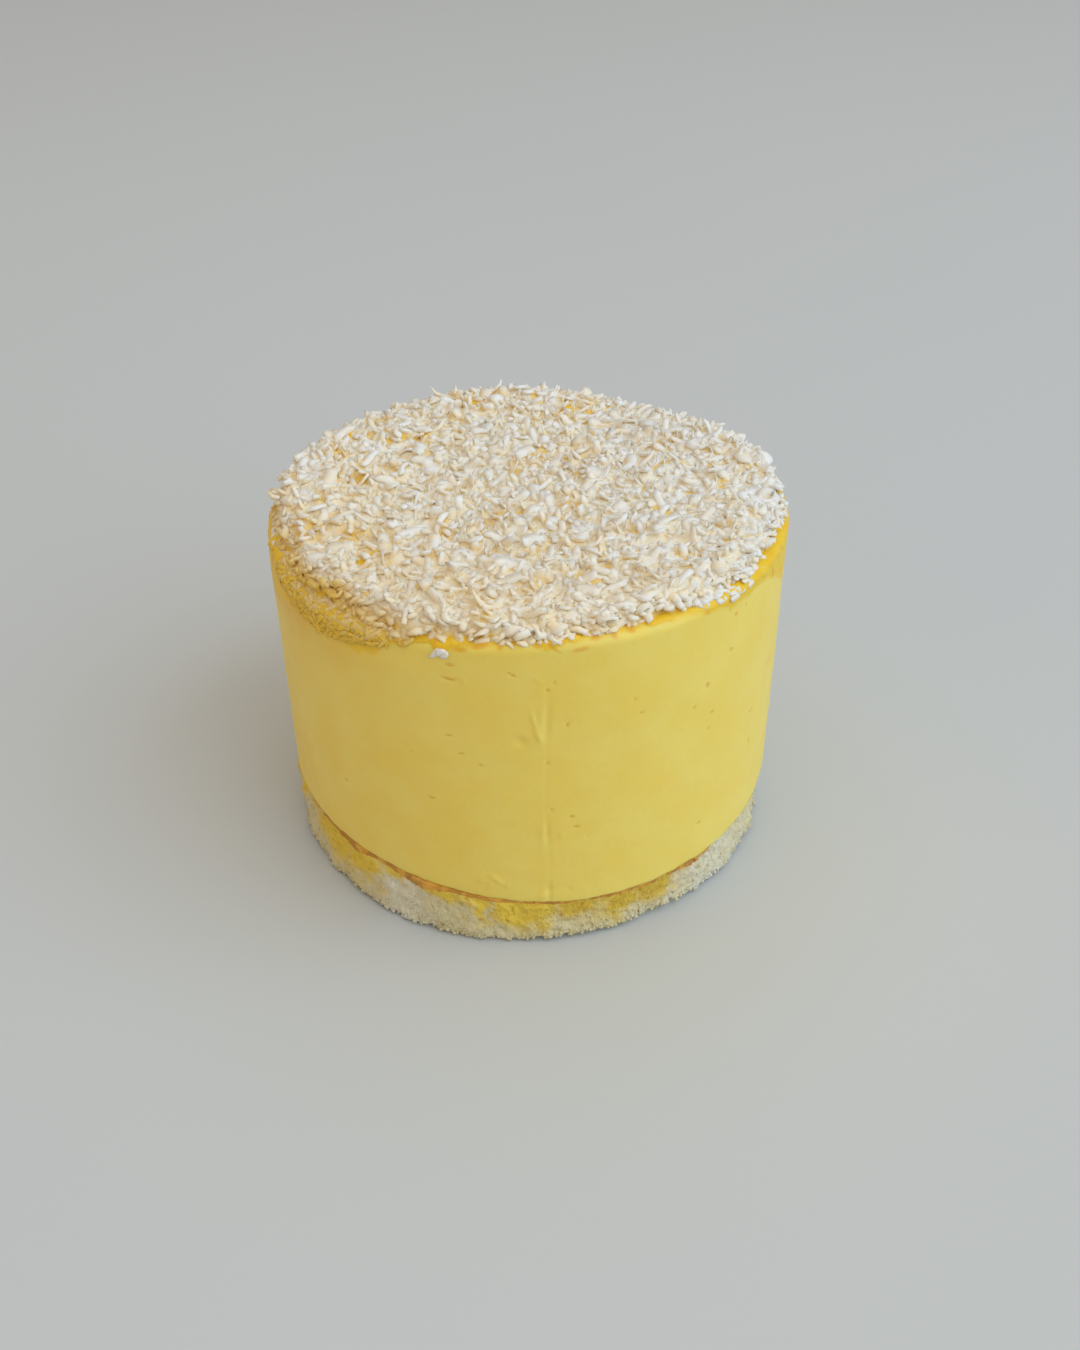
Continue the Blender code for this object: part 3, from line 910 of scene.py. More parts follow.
class CakeSizes(bpy.types.PropertyGroup):
    """Sizes and numbers of what the layers carry."""

    glaze_thickness: length_setting("Glaze", "Thickness of the glaze film", 0.2 * MM)
    bed_thickness: length_setting("Bed", "Thickness of the matted bed under the flakes", 1.4 * MM)
    flake_thickness: length_setting("Flakes", "Mean thickness of a coconut flake", 0.32 * MM)
    bits: count_setting("Bits", "Number of fine coconut bits", 5800)
    shreds: count_setting("Shreds", "Number of narrow coconut shreds", 2100)
    ribbons: count_setting("Ribbons", "Number of wide curved coconut ribbons", 300)
    chips: count_setting("Chips", "Number of flat coconut chips", 140)
    pressed: count_setting("Pressed flakes", "Number of flakes pressed on the shoulder", 820)
    crumbs: count_setting("Crumbs", "Number of grains on the sponge's side", 2600)
    seed: count_setting("Seed", "Start of the random draws", 11)


class StageSettings(bpy.types.PropertyGroup):
    """Light and camera."""

    key_power: power_setting("Key light", "Power of the soft light on the right", 21.0)
    overhead_power: power_setting("Overhead light", "Power of the soft light above", 9.4)
    fill_power: power_setting("Fill light", "Power of the warm light on the left", 1.95)
    sky: FloatProperty(
        name="Surround", description="Strength of the even light from all round", default=0.37
    )
    lens: FloatProperty(
        name="Lens",
        description="Focal length of the camera",
        default=35.8,
        subtype="DISTANCE_CAMERA",
    )


# ---------------------------------------------------------------------------- mousse and glaze


def build_mousse():
    """The mousse, turned and then given its joint, its slumped edge, its crease and pits."""
    flat = RING_RADIUS - SHOULDER_RADIUS
    foot = SPONGE_HEIGHT + FOOT_RADIUS
    profile = (
        line((0, SPONGE_HEIGHT), (RING_RADIUS - FOOT_RADIUS, SPONGE_HEIGHT), 6 * MM)
        + arc(RING_RADIUS - FOOT_RADIUS, foot, FOOT_RADIUS, -90, 0, 4)[:-1]
        + line((RING_RADIUS, foot), (RING_RADIUS, MOUSSE_TOP - SHOULDER_RADIUS), MOUSSE_ROW)
        + arc(flat, MOUSSE_TOP - SHOULDER_RADIUS, SHOULDER_RADIUS, 0, 90, 6)[:-1]
        + line((flat, MOUSSE_TOP), (0, MOUSSE_TOP), 3.2 * MM)
        + [(0, MOUSSE_TOP)]
    )
    mousse = turn("mousse_body", profile, MOUSSE_STEPS)
    points, pit = shape_mousse(gather_front(points_of(mousse)))
    move_points(mousse, points)
    paint(mousse, "pit", pit)
    angle, height = polar(points)[0], points[:, 2]
    paint(mousse, "wash", (height - glaze_edge(angle)) / MM)
    paint(mousse, "pool", marks(angle, height, GLAZE_POOLS))
    paint(mousse, "soak", facing(angle, -60.0, 24.0) * ease((height - 36 * MM) / (8 * MM)))
    return mousse


def glaze_edge(angle):
    """Height down to which the glaze has come at a direction."""
    facings, heights = np.transpose(GLAZE_EDGE)
    rim = rim_line(angle)
    ragged = 0.4 * grain(rim, 2.6 * MM, 34) + 0.25 * grain(rim, 1.1 * MM, 35)
    return MM * (np.interp(np.degrees(angle), facings, heights) + ragged)


def build_glaze(sizes):
    """Film of glaze over the top and its edge, as deep down the side as it has run."""
    lowest, inset, out = FILM_LOWEST, FILM_INSET, FILM_OUT
    flat, level = RING_RADIUS - SHOULDER_RADIUS, MOUSSE_TOP - SHOULDER_RADIUS
    profile = (
        line((0, MOUSSE_TOP - inset), (flat, MOUSSE_TOP - inset), 3.2 * MM)
        + arc(flat, level, SHOULDER_RADIUS - inset, 90, 0, 6)[:-1]
        + line((RING_RADIUS - inset, level), (RING_RADIUS - inset, lowest), 1.2 * MM)
        + line((RING_RADIUS - inset, lowest), (RING_RADIUS + out, lowest), inset)
        + line((RING_RADIUS + out, lowest), (RING_RADIUS + out, level), GLAZE_ROW)
        + arc(flat, level, SHOULDER_RADIUS + out, 0, 90, 8)[:-1]
        + line((flat, MOUSSE_TOP + out), (0, MOUSSE_TOP + out), 0.9 * MM)
        + [(0, MOUSSE_TOP + out)]
    )
    glaze = turn("glaze_film", profile, GLAZE_STEPS)
    nominal = gather_front(points_of(glaze))
    angle, radius = polar(nominal)
    beyond = np.hypot(np.maximum(radius - flat, 0), np.maximum(nominal[:, 2] - level, 0))
    outer = (beyond > SHOULDER_RADIUS) | (nominal[:, 2] > MOUSSE_TOP)
    slump = top_shift(angle, np.full(len(angle), RING_RADIUS))
    shifted = nominal[:, 2] + slump
    ragged = 0.5 * MM * grain(nominal, 1.6 * MM, 5) + 0.25 * MM * grain(nominal, 0.7 * MM, 6)
    above = shifted - np.maximum(glaze_edge(angle), MOUSSE_TOP + slump - FILM_REACH) + ragged
    body = ease(above / FILM_FEATHER)
    lumps = 1 + 0.6 * grain(nominal, 1.5 * MM, 8) + 0.5 * grain(nominal, 0.6 * MM, 9)
    lift = np.where(outer, sizes.glaze_thickness * body * lumps - 0.05 * MM - out, 0)
    share = np.clip(beyond / SHOULDER_RADIUS, 0, 1.2)
    out_r = np.where(radius > flat, (radius - flat) / np.maximum(beyond, 1e-9), 0)
    out_r = np.where(nominal[:, 2] < level, 1.0, out_r) * (share > 0)
    out_z = np.sqrt(np.maximum(1 - out_r**2, 0))
    radius = radius + lift * out_r
    height = nominal[:, 2] + lift * out_z
    points, _ = shape_mousse(place(angle, radius, height))
    pools = marks(angle, points[:, 2], GLAZE_POOLS) * (radius > flat)
    inwards = 0.18 * MM * pools * outer
    around, wide = polar(points)
    move_points(glaze, place(around, wide - inwards, points[:, 2]))
    paint(glaze, "pool", pools)
    paint(glaze, "rim", ease(1 - np.abs(above - 0.5 * MM) / (0.9 * MM)) * (radius > flat))
    return glaze


# ---------------------------------------------------------------------------- coconut


def golden(points):
    """How much glaze shows among the flakes at each point, from 0 to 1."""
    amount = np.zeros(len(points))
    for at, radius, reach, strength in GOLDEN_PATCHES:
        middle = place(math.radians(at), radius * MM, 0.0)
        away = np.hypot(points[:, 0] - middle[0], points[:, 1] - middle[1]) / (reach * MM)
        amount = np.maximum(amount, strength * np.exp(-(away**2)))
    return amount


def rim_limit(angle):
    """Distance from the axis to which the coconut reaches: bare rim, or a little overhang."""
    rim = rim_line(angle)
    uneven = 0.7 * MM * grain(rim, 2.6 * MM, 14) + 0.5 * MM * grain(rim, 7 * MM, 15)
    return COVER_RADIUS + uneven + swells(angle, RIM_TURNS, MM)


def bed_taper(angle, radius):
    """Share of its thickness that the bed has at each place: it thins out at the rim."""
    inwards = np.minimum(rim_limit(angle) - 0.3 * MM, BED_EDGE) - radius
    widest, narrower = BED_SLOPES
    steepness = widest - narrower * (0.5 - 0.5 * np.cos(angle))
    return ease(0.06 + inwards / steepness)


def bed_rise(angle, radius, thickness):
    """Thickness of coconut and glaze on which the flakes are laid."""
    heaped = swells(angle, MOUNDS, MM)
    tufts = 0.3 * MM * grain(place(angle, radius, 0 * angle), 4.2 * MM, 33)
    full = thickness + tufts + heaped * ease((radius / RING_RADIUS - 0.35) / 0.5)
    return full * bed_taper(angle, radius)


def build_bed(pile):
    """The bed in which the flakes stand: fine coconut steeped in glaze, which fills the pile
    up to a little below its flakes."""
    low, top = MOUSSE_TOP - 0.5 * MM, MOUSSE_TOP
    profile = (
        line((0, low), (BED_EDGE, low), 3 * MM)
        + line((BED_EDGE, low), (BED_EDGE, top), 0.25 * MM)
        + line((BED_EDGE, top), (0, top), BED_RING)
        + [(0, top)]
    )
    bed = turn("coconut_bed", profile, BED_STEPS)
    nominal = gather_front(points_of(bed))
    angle, radius = polar(nominal)
    level = nominal[:, 2] + top_shift(angle, radius) - shoulder_fall(radius)
    lumps = 0.14 * MM * grain(nominal, 1.2 * MM, 31) + 0.1 * MM * grain(nominal, 0.65 * MM, 32)
    filled = pile.mean_height(nominal, BED_REACH) - BED_GAP + lumps - level
    upper = nominal[:, 2] > top - WELD
    rise = bed_taper(angle, radius) * np.maximum(filled, 0) - 0.1 * MM
    move_points(bed, place(angle, radius, level + np.where(upper, rise, 0)))
    at_rim = 0.8 * ease((radius - rim_limit(angle) + 2.2 * MM) / (1.4 * MM))
    at_rim = at_rim * (0.62 + 0.38 * np.cos(angle))
    paint(bed, "rim", np.maximum(at_rim, golden(nominal)))
    bpy.ops.object.shade_smooth()
    return bed


class Pile:
    """The coconut's surface so far, as heights over a square grid."""

    def __init__(self, film, bed):
        side = np.arange(-PILE_REACH, PILE_REACH, PILE_CELL)
        x, y = np.meshgrid(side, side)
        angle, radius = np.arctan2(x, -y), np.hypot(x, y)
        fall = shoulder_fall(radius)
        droop = np.where(radius > RING_RADIUS, RIM_DROOP, 0.0)
        thick = np.maximum(film, bed_rise(angle.ravel(), radius.ravel(), bed).reshape(x.shape))
        self.ground = MOUSSE_TOP + top_shift(angle, radius) + thick - fall - droop
        self.surface = self.ground.copy()
        self.last = len(side) - 1

    def cells(self, points):
        """Grid rows and columns under points."""
        found = ((points[:, :2] + PILE_REACH) / PILE_CELL + 0.5).astype(int)
        found = np.clip(found, 0, self.last)
        return found[:, 1], found[:, 0]

    def settle(self, flake, middle, turned, lean, roll):
        """The flake turned, leant and lowered until it stands in the pile."""
        spin = Matrix.Rotation(turned, 3, "Z")
        trial = flake @ np.array(spin).T + middle
        needed = self.surface[self.cells(trial)] - flake[:, 2]
        lean = lean + resting_slope(flake[:, 0], needed)
        roll = roll + resting_slope(flake[:, 1], needed)
        tilt = spin @ Matrix.Rotation(-lean, 3, "Y") @ Matrix.Rotation(roll, 3, "X")
        tilted = flake @ np.array(tilt).T + middle
        gap = tilted[:, 2] - self.surface[self.cells(tilted)]
        standing = min(np.ptp(tilted[:, 2]), np.ptp(gap))
        tilted[:, 2] -= gap.min() + PILE_SINK + OWN_SINK * standing
        return tilted

    def cover(self, points):
        """Raises the surface to points that now lie on it."""
        np.maximum.at(self.surface, self.cells(points), points[:, 2])

    def hollows(self, points, reach):
        """How far below the crests round it each point lies, apart from the ground's slope."""
        cells = self.cells(points)
        crest, slope = self.highest(self.surface, reach), self.highest(self.ground, reach)
        return crest[cells] - points[:, 2] - (slope - self.ground)[cells]

    def highest(self, heights, reach):
        """The greatest height within a reach of each cell."""
        for axis in (0, 1):
            span = range(-reach, reach + 1)
            heights = np.max([np.roll(heights, shift, axis) for shift in span], axis=0)
        return heights

    def mean_height(self, points, reach):
        """Mean height of the pile round each point."""
        heights = self.surface
        for axis in (0, 1):
            span = range(-reach, reach + 1)
            heights = np.mean([np.roll(heights, shift, axis) for shift in span], axis=0)
        return heights[self.cells(points)]

    def crowding(self, points):
        """How thick the pile is under points, on the whole."""
        cells = self.cells(points)
        thick = self.surface[cells] - self.ground[cells]
        return thick.mean() + 0.35 * thick.max()


def resting_slope(along, needed):
    """Tilt at which a flake lies on the highest spot under each of its halves."""
    reach = np.abs(along).max()
    low, high = along < -0.2 * reach, along > 0.2 * reach
    start = np.argmax(np.where(low, needed, -1.0))
    end = np.argmax(np.where(high, needed, -1.0))
    slope = math.atan2(needed[end] - needed[start], along[end] - along[start])
    return 0.6 * max(-STEEPEST, min(STEEPEST, slope))


class FlakeKind:
    """One kind of flake: its blank, the range of its sizes in mm, and how it is bent."""

    def __init__(self, cuts, length, width, bow, arch, cup, twist, narrow, lean):
        self.points, self.faces = strip_blank(*cuts)
        self.length, self.width = length, width
        self.bow, self.arch, self.cup, self.twist = bow, arch, cup, twist
        self.narrow, self.lean = narrow, lean
        rows = [math.ceil(size[1] * MM / PILE_CELL) + 2 for size in (length, width)]
        x, y = np.meshgrid(*[np.linspace(-0.5, 0.5, row) for row in rows])
        self.skin = np.stack([x.ravel(), y.ravel(), 0.5 + 0 * x.ravel()], axis=-1)

    def bend(self, draw, thickness):
        """Points of a new flake, and of its upper skin, lying along X."""
        length = draw.uniform(*self.length) * MM
        width = min(draw.uniform(*self.width) * MM, 0.7 * length)
        thickness = thickness * draw.uniform(0.75, 1.3)
        block = np.concatenate([self.points, self.skin])
        x, y, z = block.T
        end = 4 * x * x
        narrow = np.where(x < 0, draw.uniform(*self.narrow), draw.uniform(*self.narrow))
        ragged = 1 + 0.2 * np.sin(9 * x + draw.uniform(0, 6) + 2 * np.sign(y))
        ragged = ragged + 0.12 * np.sin(19 * x + draw.uniform(0, 6) - 3 * np.sign(y))
        across = y * width * (1 - narrow * end**2) * ragged
        plump = (1 - 0.3 * end) * (1 - 0.7 * np.abs(y))
        up = z * thickness * plump + draw.uniform(*self.cup) * width * (4 * y * y - 0.3)
        turned = draw.uniform(-self.twist, self.twist) * x
        bow = draw.uniform(-self.bow, self.bow) * length * (end - 0.33)
        bow = bow + draw.uniform(-0.4, 0.4) * self.bow * length * 8 * x**3
        arch = draw.uniform(*self.arch) * length * (end - 0.33)
        arch = arch + 0.05 * length * math.sin(draw.uniform(0, 6)) * np.sin(7 * x)
        bent = np.stack(
            [
                x * length,
                across * np.cos(turned) - up * np.sin(turned) + bow,
                across * np.sin(turned) + up * np.cos(turned) + arch,
            ],
            axis=-1,
        )
        return bent[: len(self.points)], bent[len(self.points) :]


def calmness(middle):
    """Share of its lean that a flake keeps at a place."""
    at_rim = ease((math.hypot(middle[0], middle[1]) / RING_RADIUS - 0.3) / 0.4)
    around = math.atan2(middle[0], -middle[1])
    return 1 - CALM_SHARE * at_rim * facing(around, CALM_FACING, CALM_SPREAD)


def lay_flakes(sizes):
    """Lays the flakes one by one where the pile is thin, and returns what was laid."""
    draw = random.Random(sizes.seed)
    pile = Pile(sizes.glaze_thickness, sizes.bed_thickness)
    kinds = {name: FlakeKind(**form) for name, form in FLAKE_FORMS.items()}
    counts = {name: getattr(sizes, name) for name in kinds}
    order = [name for name, count in counts.items() for _ in range(count)]
    order.sort(key=lambda name: FLAKE_RANKS[name] + draw.uniform(-0.5, 0.5))
    limits = rim_limit(np.radians(np.arange(360)))
    ceiling = CAD_BOX[1].z + COVER_OVER_BOX
    laid = {name: [] for name in kinds}
    for name in order:
        kind = kinds[name]
        along_rim = name == "bits" and draw.random() < RIM_SHARE
        flake, skin = kind.bend(draw, sizes.flake_thickness)
        whole = np.concatenate([flake, skin])
        lean, roll = (math.radians(draw.gauss(0, kind.lean)) for _ in range(2))
        spots = []
        for _ in range(TRIES):
            angle, radius = draw.uniform(0, math.tau), RING_RADIUS * math.sqrt(draw.random())
            turned = draw.uniform(0, math.tau)
            if along_rim:
                radius = limits[int(math.degrees(angle)) % 360] - draw.uniform(0.4, 3.0) * MM
                turned = angle + draw.gauss(0, 0.7)
            middle = place(np.array([angle]), radius, 0)[0]
            footprint = flake @ np.array(Matrix.Rotation(turned, 3, "Z")).T + middle
            around, wide = polar(footprint)
            if (wide <= limits[np.degrees(around).astype(int) % 360]).all():
                spots.append((pile.crowding(footprint), len(spots), middle, turned))
        if not spots:
            continue
        _, _, middle, turned = min(spots)
        calm = calmness(middle)
        rested = pile.settle(whole, middle, turned, calm * lean, calm * roll)
        if rested[:, 2].max() > ceiling:
            continue
        pile.cover(rested[len(flake) :])
        rooted = rested[: len(flake)]
        inwards = ease((ROOT_EDGE - np.hypot(rooted[:, 0], rooted[:, 1])) / MM)
        under = kind.points[:, 2] < 0
        rooted[under, 2] -= (ROOT_DEPTH * inwards)[under]
        laid[name].append(rooted)
    return laid, kinds, pile


def paint_flakes(piece, copies, pile, draw):
    """Stores each flake's tone, and how honeyed its points are by their depth in the pile: glaze
    seeping down, and painted warm light in the gaps.
    """
    points = np.concatenate(copies)
    count = len(copies[0])
    depth = pile.hollows(points, CREST_REACH)
    angle, radius = polar(points)
    limits = rim_limit(np.radians(np.arange(360)))
    inwards = limits[np.degrees(angle).astype(int) % 360] - radius
    rim = ease(1.15 - inwards / (2.4 * MM))
    yellowed = rim * swells(angle, RIM_YELLOWED)
    dabbed = np.repeat([draw.random() ** 3 for _ in copies], count)
    warm = 0.47 * facing(angle, -10.0, 50.0) * ease((radius - 16 * MM) / (12 * MM)) - 0.03
    pale = facing(angle, 100.0, 62.0) * ease(radius / (20 * MM))
    # Deeper points are painted more honeyed and golden: partly glaze seeped down, partly painted
    # warm light in the gaps between flakes.
    deep = ease((depth - 0.3 * MM) / (0.9 * MM))
    glazed = golden(points) * (0.2 + 0.8 * deep) * (0.5 + 0.5 * dabbed)
    glazed = glazed + 0.13 * deep * (1 - 0.9 * pale)
    stain = 0.78 * ease((depth - 0.25 * MM) / (0.85 * MM)) + 0.12 * dabbed + (warm - 0.3 * pale)
    paint(piece, "tone", np.repeat([draw.random() for _ in copies], count))
    paint(piece, "stain", np.clip(stain + 0.5 * yellowed, 0, 1))
    paint(piece, "soaked", np.clip(yellowed * (0.78 + 0.22 * dabbed**0.3) + glazed, 0, 1))


def build_coconut(sizes):
    """The cover of coconut: its bed, and one piece for each kind of flake."""
    laid, kinds, pile = lay_flakes(sizes)
    draw = random.Random(sizes.seed + 1)
    pieces = [build_bed(pile)]
    for name, copies in laid.items():
        piece = join_copies(f"coconut_{name}", copies, kinds[name].faces)
        paint_flakes(piece, copies, pile, draw)
        bpy.ops.object.shade_smooth()
        pieces.append(piece)
    return pieces


def edge_points(angle, run, lift):
    """Points of the real cake at runs along its edge: 0 where the shoulder starts, and on
    down the side; lifted off its surface."""
    bend = np.clip(run / SHOULDER_RADIUS, 0, math.pi / 2)
    past = np.maximum(run - SHOULDER_RADIUS * math.pi / 2, 0)
    before = np.minimum(run, 0)
    flat, level = RING_RADIUS - SHOULDER_RADIUS, MOUSSE_TOP - SHOULDER_RADIUS
    reach = SHOULDER_RADIUS + lift
    radius = flat + before + reach * np.sin(bend)
    height = level + reach * np.cos(bend) - past
    return shape_mousse(place(angle, radius, height))[0]


def build_pressed_flakes(sizes):
    """Flakes steeped in glaze and pressed flat on the slumped shoulder, and a few white strays
    round the rim."""
    draw = random.Random(sizes.seed + 2)
    long, short = (
        FlakeKind(length=length, width=width, **PRESSED_FORM)
        for length, width in (((0.9, 2.5), (0.35, 0.75)), ((0.9, 1.8), (0.6, 1.0)))
    )
    copies, steeped = [], []
    for _ in range(sizes.pressed):
        facing_at = draw.gauss(-47.0, 13.0)
        if not -78.0 < facing_at < -22.0:
            continue
        depth = 2.9 * math.exp(-(((facing_at + 49.0) / 20.0) ** 2)) + 0.5
        run = draw.uniform(-3.2, depth) * MM
        copies.append(press_flake(long, draw, facing_at, run, sizes))
        steeped.append(min(1.0, max(0.25, 0.8 + 0.16 * run / MM + draw.uniform(-0.25, 0.2))))
    hidden = [(draw.uniform(78, 286), draw.uniform(-0.9, 0.9)) for _ in range(HIDDEN_STRAYS)]
    for facing_at, run in [*STRAYS, *hidden]:
        copies.append(press_flake(short, draw, facing_at, run * MM, sizes))
        steeped.append(0.08)
    piece = join_copies("coconut_pressed", copies, long.faces)
    count = len(copies[0])
    paint(piece, "tone", np.repeat([draw.random() for _ in copies], count))
    paint(piece, "stain", np.repeat([0.6 * amount for amount in steeped], count))
    paint(piece, "soaked", np.repeat(steeped, count))
    bpy.ops.object.shade_smooth()
    return piece


def press_flake(kind, draw, facing_at, run, sizes):
    """A flake wrapped on the cake's edge at a direction and a run down it."""
    flake, _ = kind.bend(draw, 0.6 * sizes.flake_thickness)
    turned = draw.gauss(0.0, 0.55)
    along = flake[:, 0] * math.cos(turned) - flake[:, 1] * math.sin(turned)
    down = flake[:, 0] * math.sin(turned) + flake[:, 1] * math.cos(turned)
    angle = math.radians(facing_at) + along / RING_RADIUS
    lift = flake[:, 2] + sizes.glaze_thickness + draw.uniform(-0.17, 0.04) * MM
    return edge_points(angle, run + down, lift)


# ---------------------------------------------------------------------------- sponge


def skin_depth(angle):
    """How far the browned skin comes down from the joint."""
    rim = rim_line(angle, SPONGE_RADIUS)
    return SKIN_THIN + swells(angle, SKIN_WEDGES, MM) * (1 + 0.35 * grain(rim, 1.6 * MM, 21))


def frayed_edge(angle):
    """Height under which the sponge's side has crumbled away."""
    rim = rim_line(angle, SPONGE_RADIUS)
    ragged = 0.35 * MM * grain(rim, 1.5 * MM, 22) + 0.25 * MM * grain(rim, 0.6 * MM, 23)
    broad = 0.3 * MM * grain(rim, 5 * MM, 24)
    worst = FRAYED_MOST * facing(angle, FRAYED_FACING, FRAYED_SPREAD)
    return FRAYED_LEAST + worst + ragged + broad


def shape_sponge(points):
    """Uneven form of points of the nominal sponge: its wavy top and torn side."""
    angle, radius = polar(points)
    height = points[:, 2]
    up = height / SPONGE_HEIGHT
    joint = joint_height(angle, radius) - SPONGE_HEIGHT + LAYER_BITE
    at_side = ease((radius / SPONGE_RADIUS - SIDE_STARTS) / (1 - SIDE_STARTS))
    crags = CRAG_SIZE * grain(points, CRAG_SPAN)
    crumbs = CRUMB_SIZE * grain(points, CRUMB_SPAN)
    fuzz = 0.12 * MM * grain(points, 0.6 * MM, 25) + 0.06 * MM * grain(points, 0.3 * MM, 26)
    pores = grain(points, 0.8 * MM, 27)
    holes = TORN_HOLES * ease((pores - 0.34) / 0.25)
    edge = np.maximum(frayed_edge(angle), 0.12 * MM)
    under = np.clip(1 - height / edge, 0, 1)
    frayed = FRAYED_DEPTH * np.sqrt(under)
    firm = 1 - 0.75 * ease((up - 0.86) / 0.14)
    relief = waves(SPONGE_WAVES, angle) + firm * (crags + crumbs + fuzz - holes) - frayed
    return place(angle, radius + at_side * relief, height + joint * up)


def build_sponge():
    """The sponge, with its torn and porous side."""
    edge = 0.35 * MM
    top = SPONGE_HEIGHT
    profile = (
        line((0, 0), (SPONGE_RADIUS - 2 * MM, 0), 5 * MM)
        + line((SPONGE_RADIUS - 2 * MM, 0), (SPONGE_RADIUS, 0), 0.5 * MM)
        + line((SPONGE_RADIUS, 0), (SPONGE_RADIUS, top - edge), SPONGE_ROW)
        + arc(SPONGE_RADIUS - edge, top - edge, edge, 0, 90, 3)[:-1]
        + line((SPONGE_RADIUS - edge, top), (0, top), 6 * MM)
        + [(0, top)]
    )
    sponge = turn("sponge_body", profile, SPONGE_STEPS)
    nominal = gather_front(points_of(sponge))
    points = shape_sponge(nominal)
    move_points(sponge, points)
    for name, amounts in sponge_colouring(points).items():
        paint(sponge, name, amounts)
    return sponge


def sponge_colouring(points):
    """How far each point of the sponge is stained or soaked by syrup, browned, and white."""
    angle, radius = polar(points)
    below = joint_height(angle, radius) - points[:, 2]
    stain = np.zeros(len(points))
    swayed = angle + np.radians(4.0) * grain(points, 2.4 * MM, 29)
    for at, spread, depth in STAINS:
        fading = ease(1.25 - below / (1.3 * depth * MM))
        stain = np.maximum(stain, fading * facing(swayed, at, 1.15 * spread))
    skin = ease((skin_depth(angle) - below) / (0.35 * MM) + 0.5)
    amber = swells(swayed, AMBERS) * ease(1.2 - below / (6.5 * MM))
    return {"stain": stain, "skin": skin, "bloom": swells(angle, BLOOMS), "amber": amber}


def build_crumbs(sizes):
    """Loose-looking grains that cling to the sponge's side, most of them at its lower edge."""
    draw = random.Random(sizes.seed + 3)
    ball, faces = crumb_blank(1)
    copies = []
    for _ in range(sizes.crumbs):
        angle = draw.uniform(-math.pi, math.pi)
        low = draw.random() < 0.55
        edge = frayed_edge(np.array([angle]))[0]
        if low:
            height = edge + (abs(draw.gauss(0, 0.35)) - 0.1) * MM
        else:
            height = draw.uniform(0.8, 7.4) * MM
        size = draw.uniform(0.25, 0.62 if low else 0.45) * MM
        nominal = place(np.array([angle]), SPONGE_RADIUS, max(height, 0.15 * MM))
        middle = shape_sponge(nominal)[0]
        lumps = 1 + 0.28 * np.array([draw.uniform(-1, 1) for _ in ball])
        stretch = np.array([draw.uniform(0.6, 1.3) for _ in range(3)])
        spin = Euler([draw.uniform(0, math.tau) for _ in range(3)]).to_matrix()
        grain_points = (ball * lumps[:, None] * stretch * size) @ np.array(spin).T + middle
        grain_points[:, 2] += max(0.0, -grain_points[:, 2].min())
        copies.append(grain_points)
    piece = join_copies("sponge_crumbs", copies, faces)
    count = len(ball)
    middles = np.array([copy.mean(axis=0) for copy in copies])
    for name, amounts in sponge_colouring(middles).items():
        paint(piece, name, np.repeat(amounts, count))
    bpy.ops.object.shade_smooth()
    return piece


# ---------------------------------------------------------------------------- stage


def build_floor():
    """Plain round floor."""
    deselect_all()
    bpy.ops.mesh.primitive_circle_add(vertices=96, radius=FLOOR_RADIUS, fill_type="NGON")
    floor = bpy.context.active_object
    floor.name = floor.data.name = "floor"
    bpy.ops.object.mode_set(mode="EDIT")
    bpy.ops.mesh.select_all(action="SELECT")
    bpy.ops.mesh.inset(thickness=0.5 * FLOOR_RADIUS)
    bpy.ops.object.mode_set(mode="OBJECT")
    return floor


def add_light(name, place_at, size, power, tint):
    """Square soft light that faces the cake."""
    bpy.ops.object.light_add(type="AREA", location=place_at)
    light = bpy.context.active_object
    light.name = light.data.name = name
    light.data.size = size
    light.data.energy = power
    light.data.color = tint
    aim = LIGHT_AIM - Vector(place_at)
    light.rotation_euler = aim.to_track_quat("-Z", "Y").to_euler()


def add_surround(strength):
    """Even pale light from all round."""
    world = bpy.data.worlds.new("surround")
    world.use_nodes = True
    background = world.node_tree.nodes["Background"]
    background.inputs["Color"].default_value = SURROUND_TINT
    background.inputs["Strength"].default_value = strength
    bpy.context.scene.world = world


def add_camera(lens):
    """Camera at the photograph's place and angle."""
    bpy.ops.object.camera_add(location=CAMERA_PLACE)
    camera = bpy.context.active_object
    camera.name = camera.data.name = "camera"
    camera.data.sensor_width = SENSOR
    camera.data.lens = lens
    camera.data.clip_start = NEAREST
    level = Euler((math.radians(90 - CAMERA_PITCH), 0, math.radians(-CAMERA_YAW))).to_matrix()
    rolled = level @ Matrix.Rotation(math.radians(CAMERA_ROLL), 3, "Z")
    camera.rotation_euler = rolled.to_euler()
    bpy.context.scene.camera = camera


# ---------------------------------------------------------------------------- operators


class MOUSSECAKE_OT_mousse(bpy.types.Operator):
    """Build the body of mousse"""

    bl_idname = "mousse_cake.mousse"
    bl_label = "Mousse"

    def execute(self, context):
        mousse = build_mousse()
        finish(mousse, mousse_finish(context.scene.cake_colours))
        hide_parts("mousse")
        return {"FINISHED"}


class MOUSSECAKE_OT_glaze(bpy.types.Operator):
    """Coat the top and its edge with glaze"""

    bl_idname = "mousse_cake.glaze"
    bl_label = "Glaze"

    def execute(self, context):
        glaze = build_glaze(context.scene.cake_sizes)
        finish(glaze, glaze_finish(context.scene.cake_colours))
        return {"FINISHED"}


class MOUSSECAKE_OT_coconut(bpy.types.Operator):
    """Strew the top with coconut, and press some on the slumped shoulder"""

    bl_idname = "mousse_cake.coconut"
    bl_label = "Coconut"

    def execute(self, context):
        sizes = context.scene.cake_sizes
        flesh = coconut_finish(context.scene.cake_colours)
        bed, *flakes = build_coconut(sizes)
        finish(bed, bed_finish(context.scene.cake_colours))
        for piece in [*flakes, build_pressed_flakes(sizes)]:
            finish(piece, flesh)
        return {"FINISHED"}


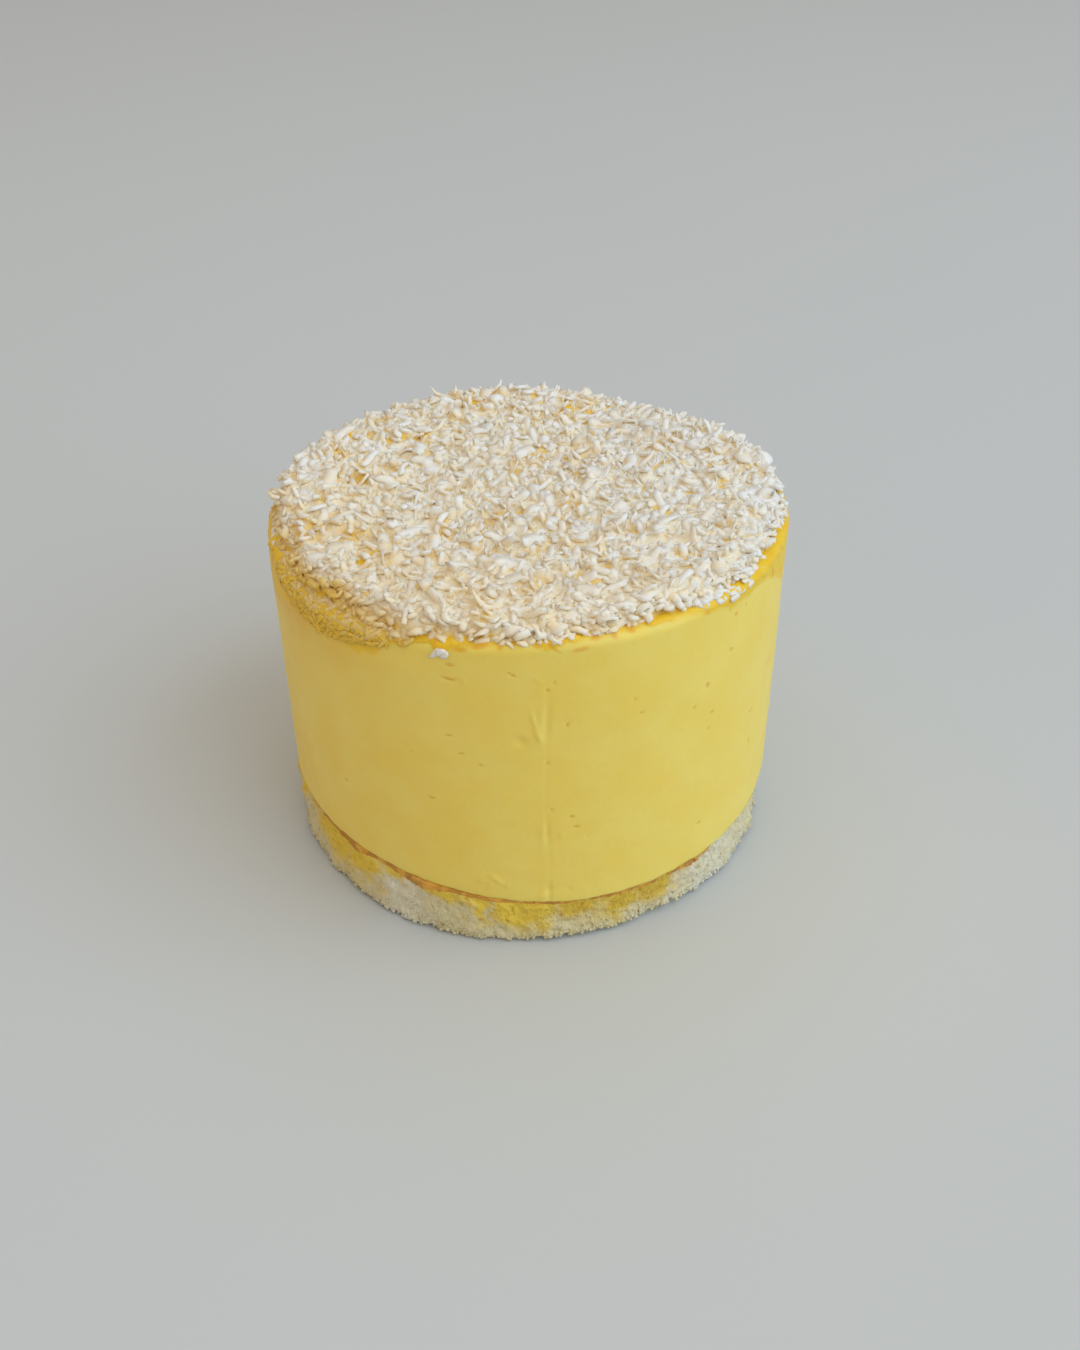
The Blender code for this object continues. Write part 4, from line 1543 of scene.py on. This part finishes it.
class MOUSSECAKE_OT_sponge(bpy.types.Operator):
    """Build the sponge and the grains on its side"""

    bl_idname = "mousse_cake.sponge"
    bl_label = "Sponge"

    def execute(self, context):
        crumb = sponge_finish(context.scene.cake_colours)
        sponge = build_sponge()
        finish(sponge, crumb)
        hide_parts("sponge")
        finish(build_crumbs(context.scene.cake_sizes), crumb)
        return {"FINISHED"}


class MOUSSECAKE_OT_stage(bpy.types.Operator):
    """Set the floor, the lights and the camera"""

    bl_idname = "mousse_cake.stage"
    bl_label = "Stage"

    def execute(self, context):
        settings = context.scene.cake_stage
        floor = build_floor()
        floor.data.materials.append(floor_finish(context.scene.cake_colours))
        for name, place_at, size, tint in LIGHTS:
            add_light(name, place_at, size, getattr(settings, f"{name}_power"), tint)
        add_surround(settings.sky)
        add_camera(settings.lens)
        context.scene.view_settings.view_transform = "Standard"
        return {"FINISHED"}


STEPS = ("mousse", "glaze", "coconut", "sponge", "stage")


class MOUSSECAKE_PT_panel(bpy.types.Panel):
    """Lists the steps and their settings in the sidebar"""

    bl_label = "Mousse Cake"
    bl_idname = "MOUSSECAKE_PT_panel"
    bl_space_type = "VIEW_3D"
    bl_region_type = "UI"
    bl_category = "Mousse Cake"

    def draw(self, context):
        for step in STEPS:
            self.layout.operator(f"mousse_cake.{step}")
        scene = context.scene
        for settings in (scene.cake_sizes, scene.cake_colours, scene.cake_stage):
            box = self.layout.box()
            for name in settings.bl_rna.properties.keys():
                if name not in ("rna_type", "name"):
                    box.prop(settings, name)


CLASSES = (
    CakeColours,
    CakeSizes,
    StageSettings,
    MOUSSECAKE_OT_mousse,
    MOUSSECAKE_OT_glaze,
    MOUSSECAKE_OT_coconut,
    MOUSSECAKE_OT_sponge,
    MOUSSECAKE_OT_stage,
    MOUSSECAKE_PT_panel,
)


def register():
    for each in CLASSES:
        bpy.utils.register_class(each)
    bpy.types.Scene.cake_colours = PointerProperty(type=CakeColours)
    bpy.types.Scene.cake_sizes = PointerProperty(type=CakeSizes)
    bpy.types.Scene.cake_stage = PointerProperty(type=StageSettings)


def unregister():
    del bpy.types.Scene.cake_stage
    del bpy.types.Scene.cake_sizes
    del bpy.types.Scene.cake_colours
    for each in reversed(CLASSES):
        bpy.utils.unregister_class(each)


def main():
    """Registers the steps, then builds every piece and the stage."""
    register()
    for step in STEPS:
        getattr(bpy.ops.mousse_cake, step)()


if __name__ == "__main__":
    main()
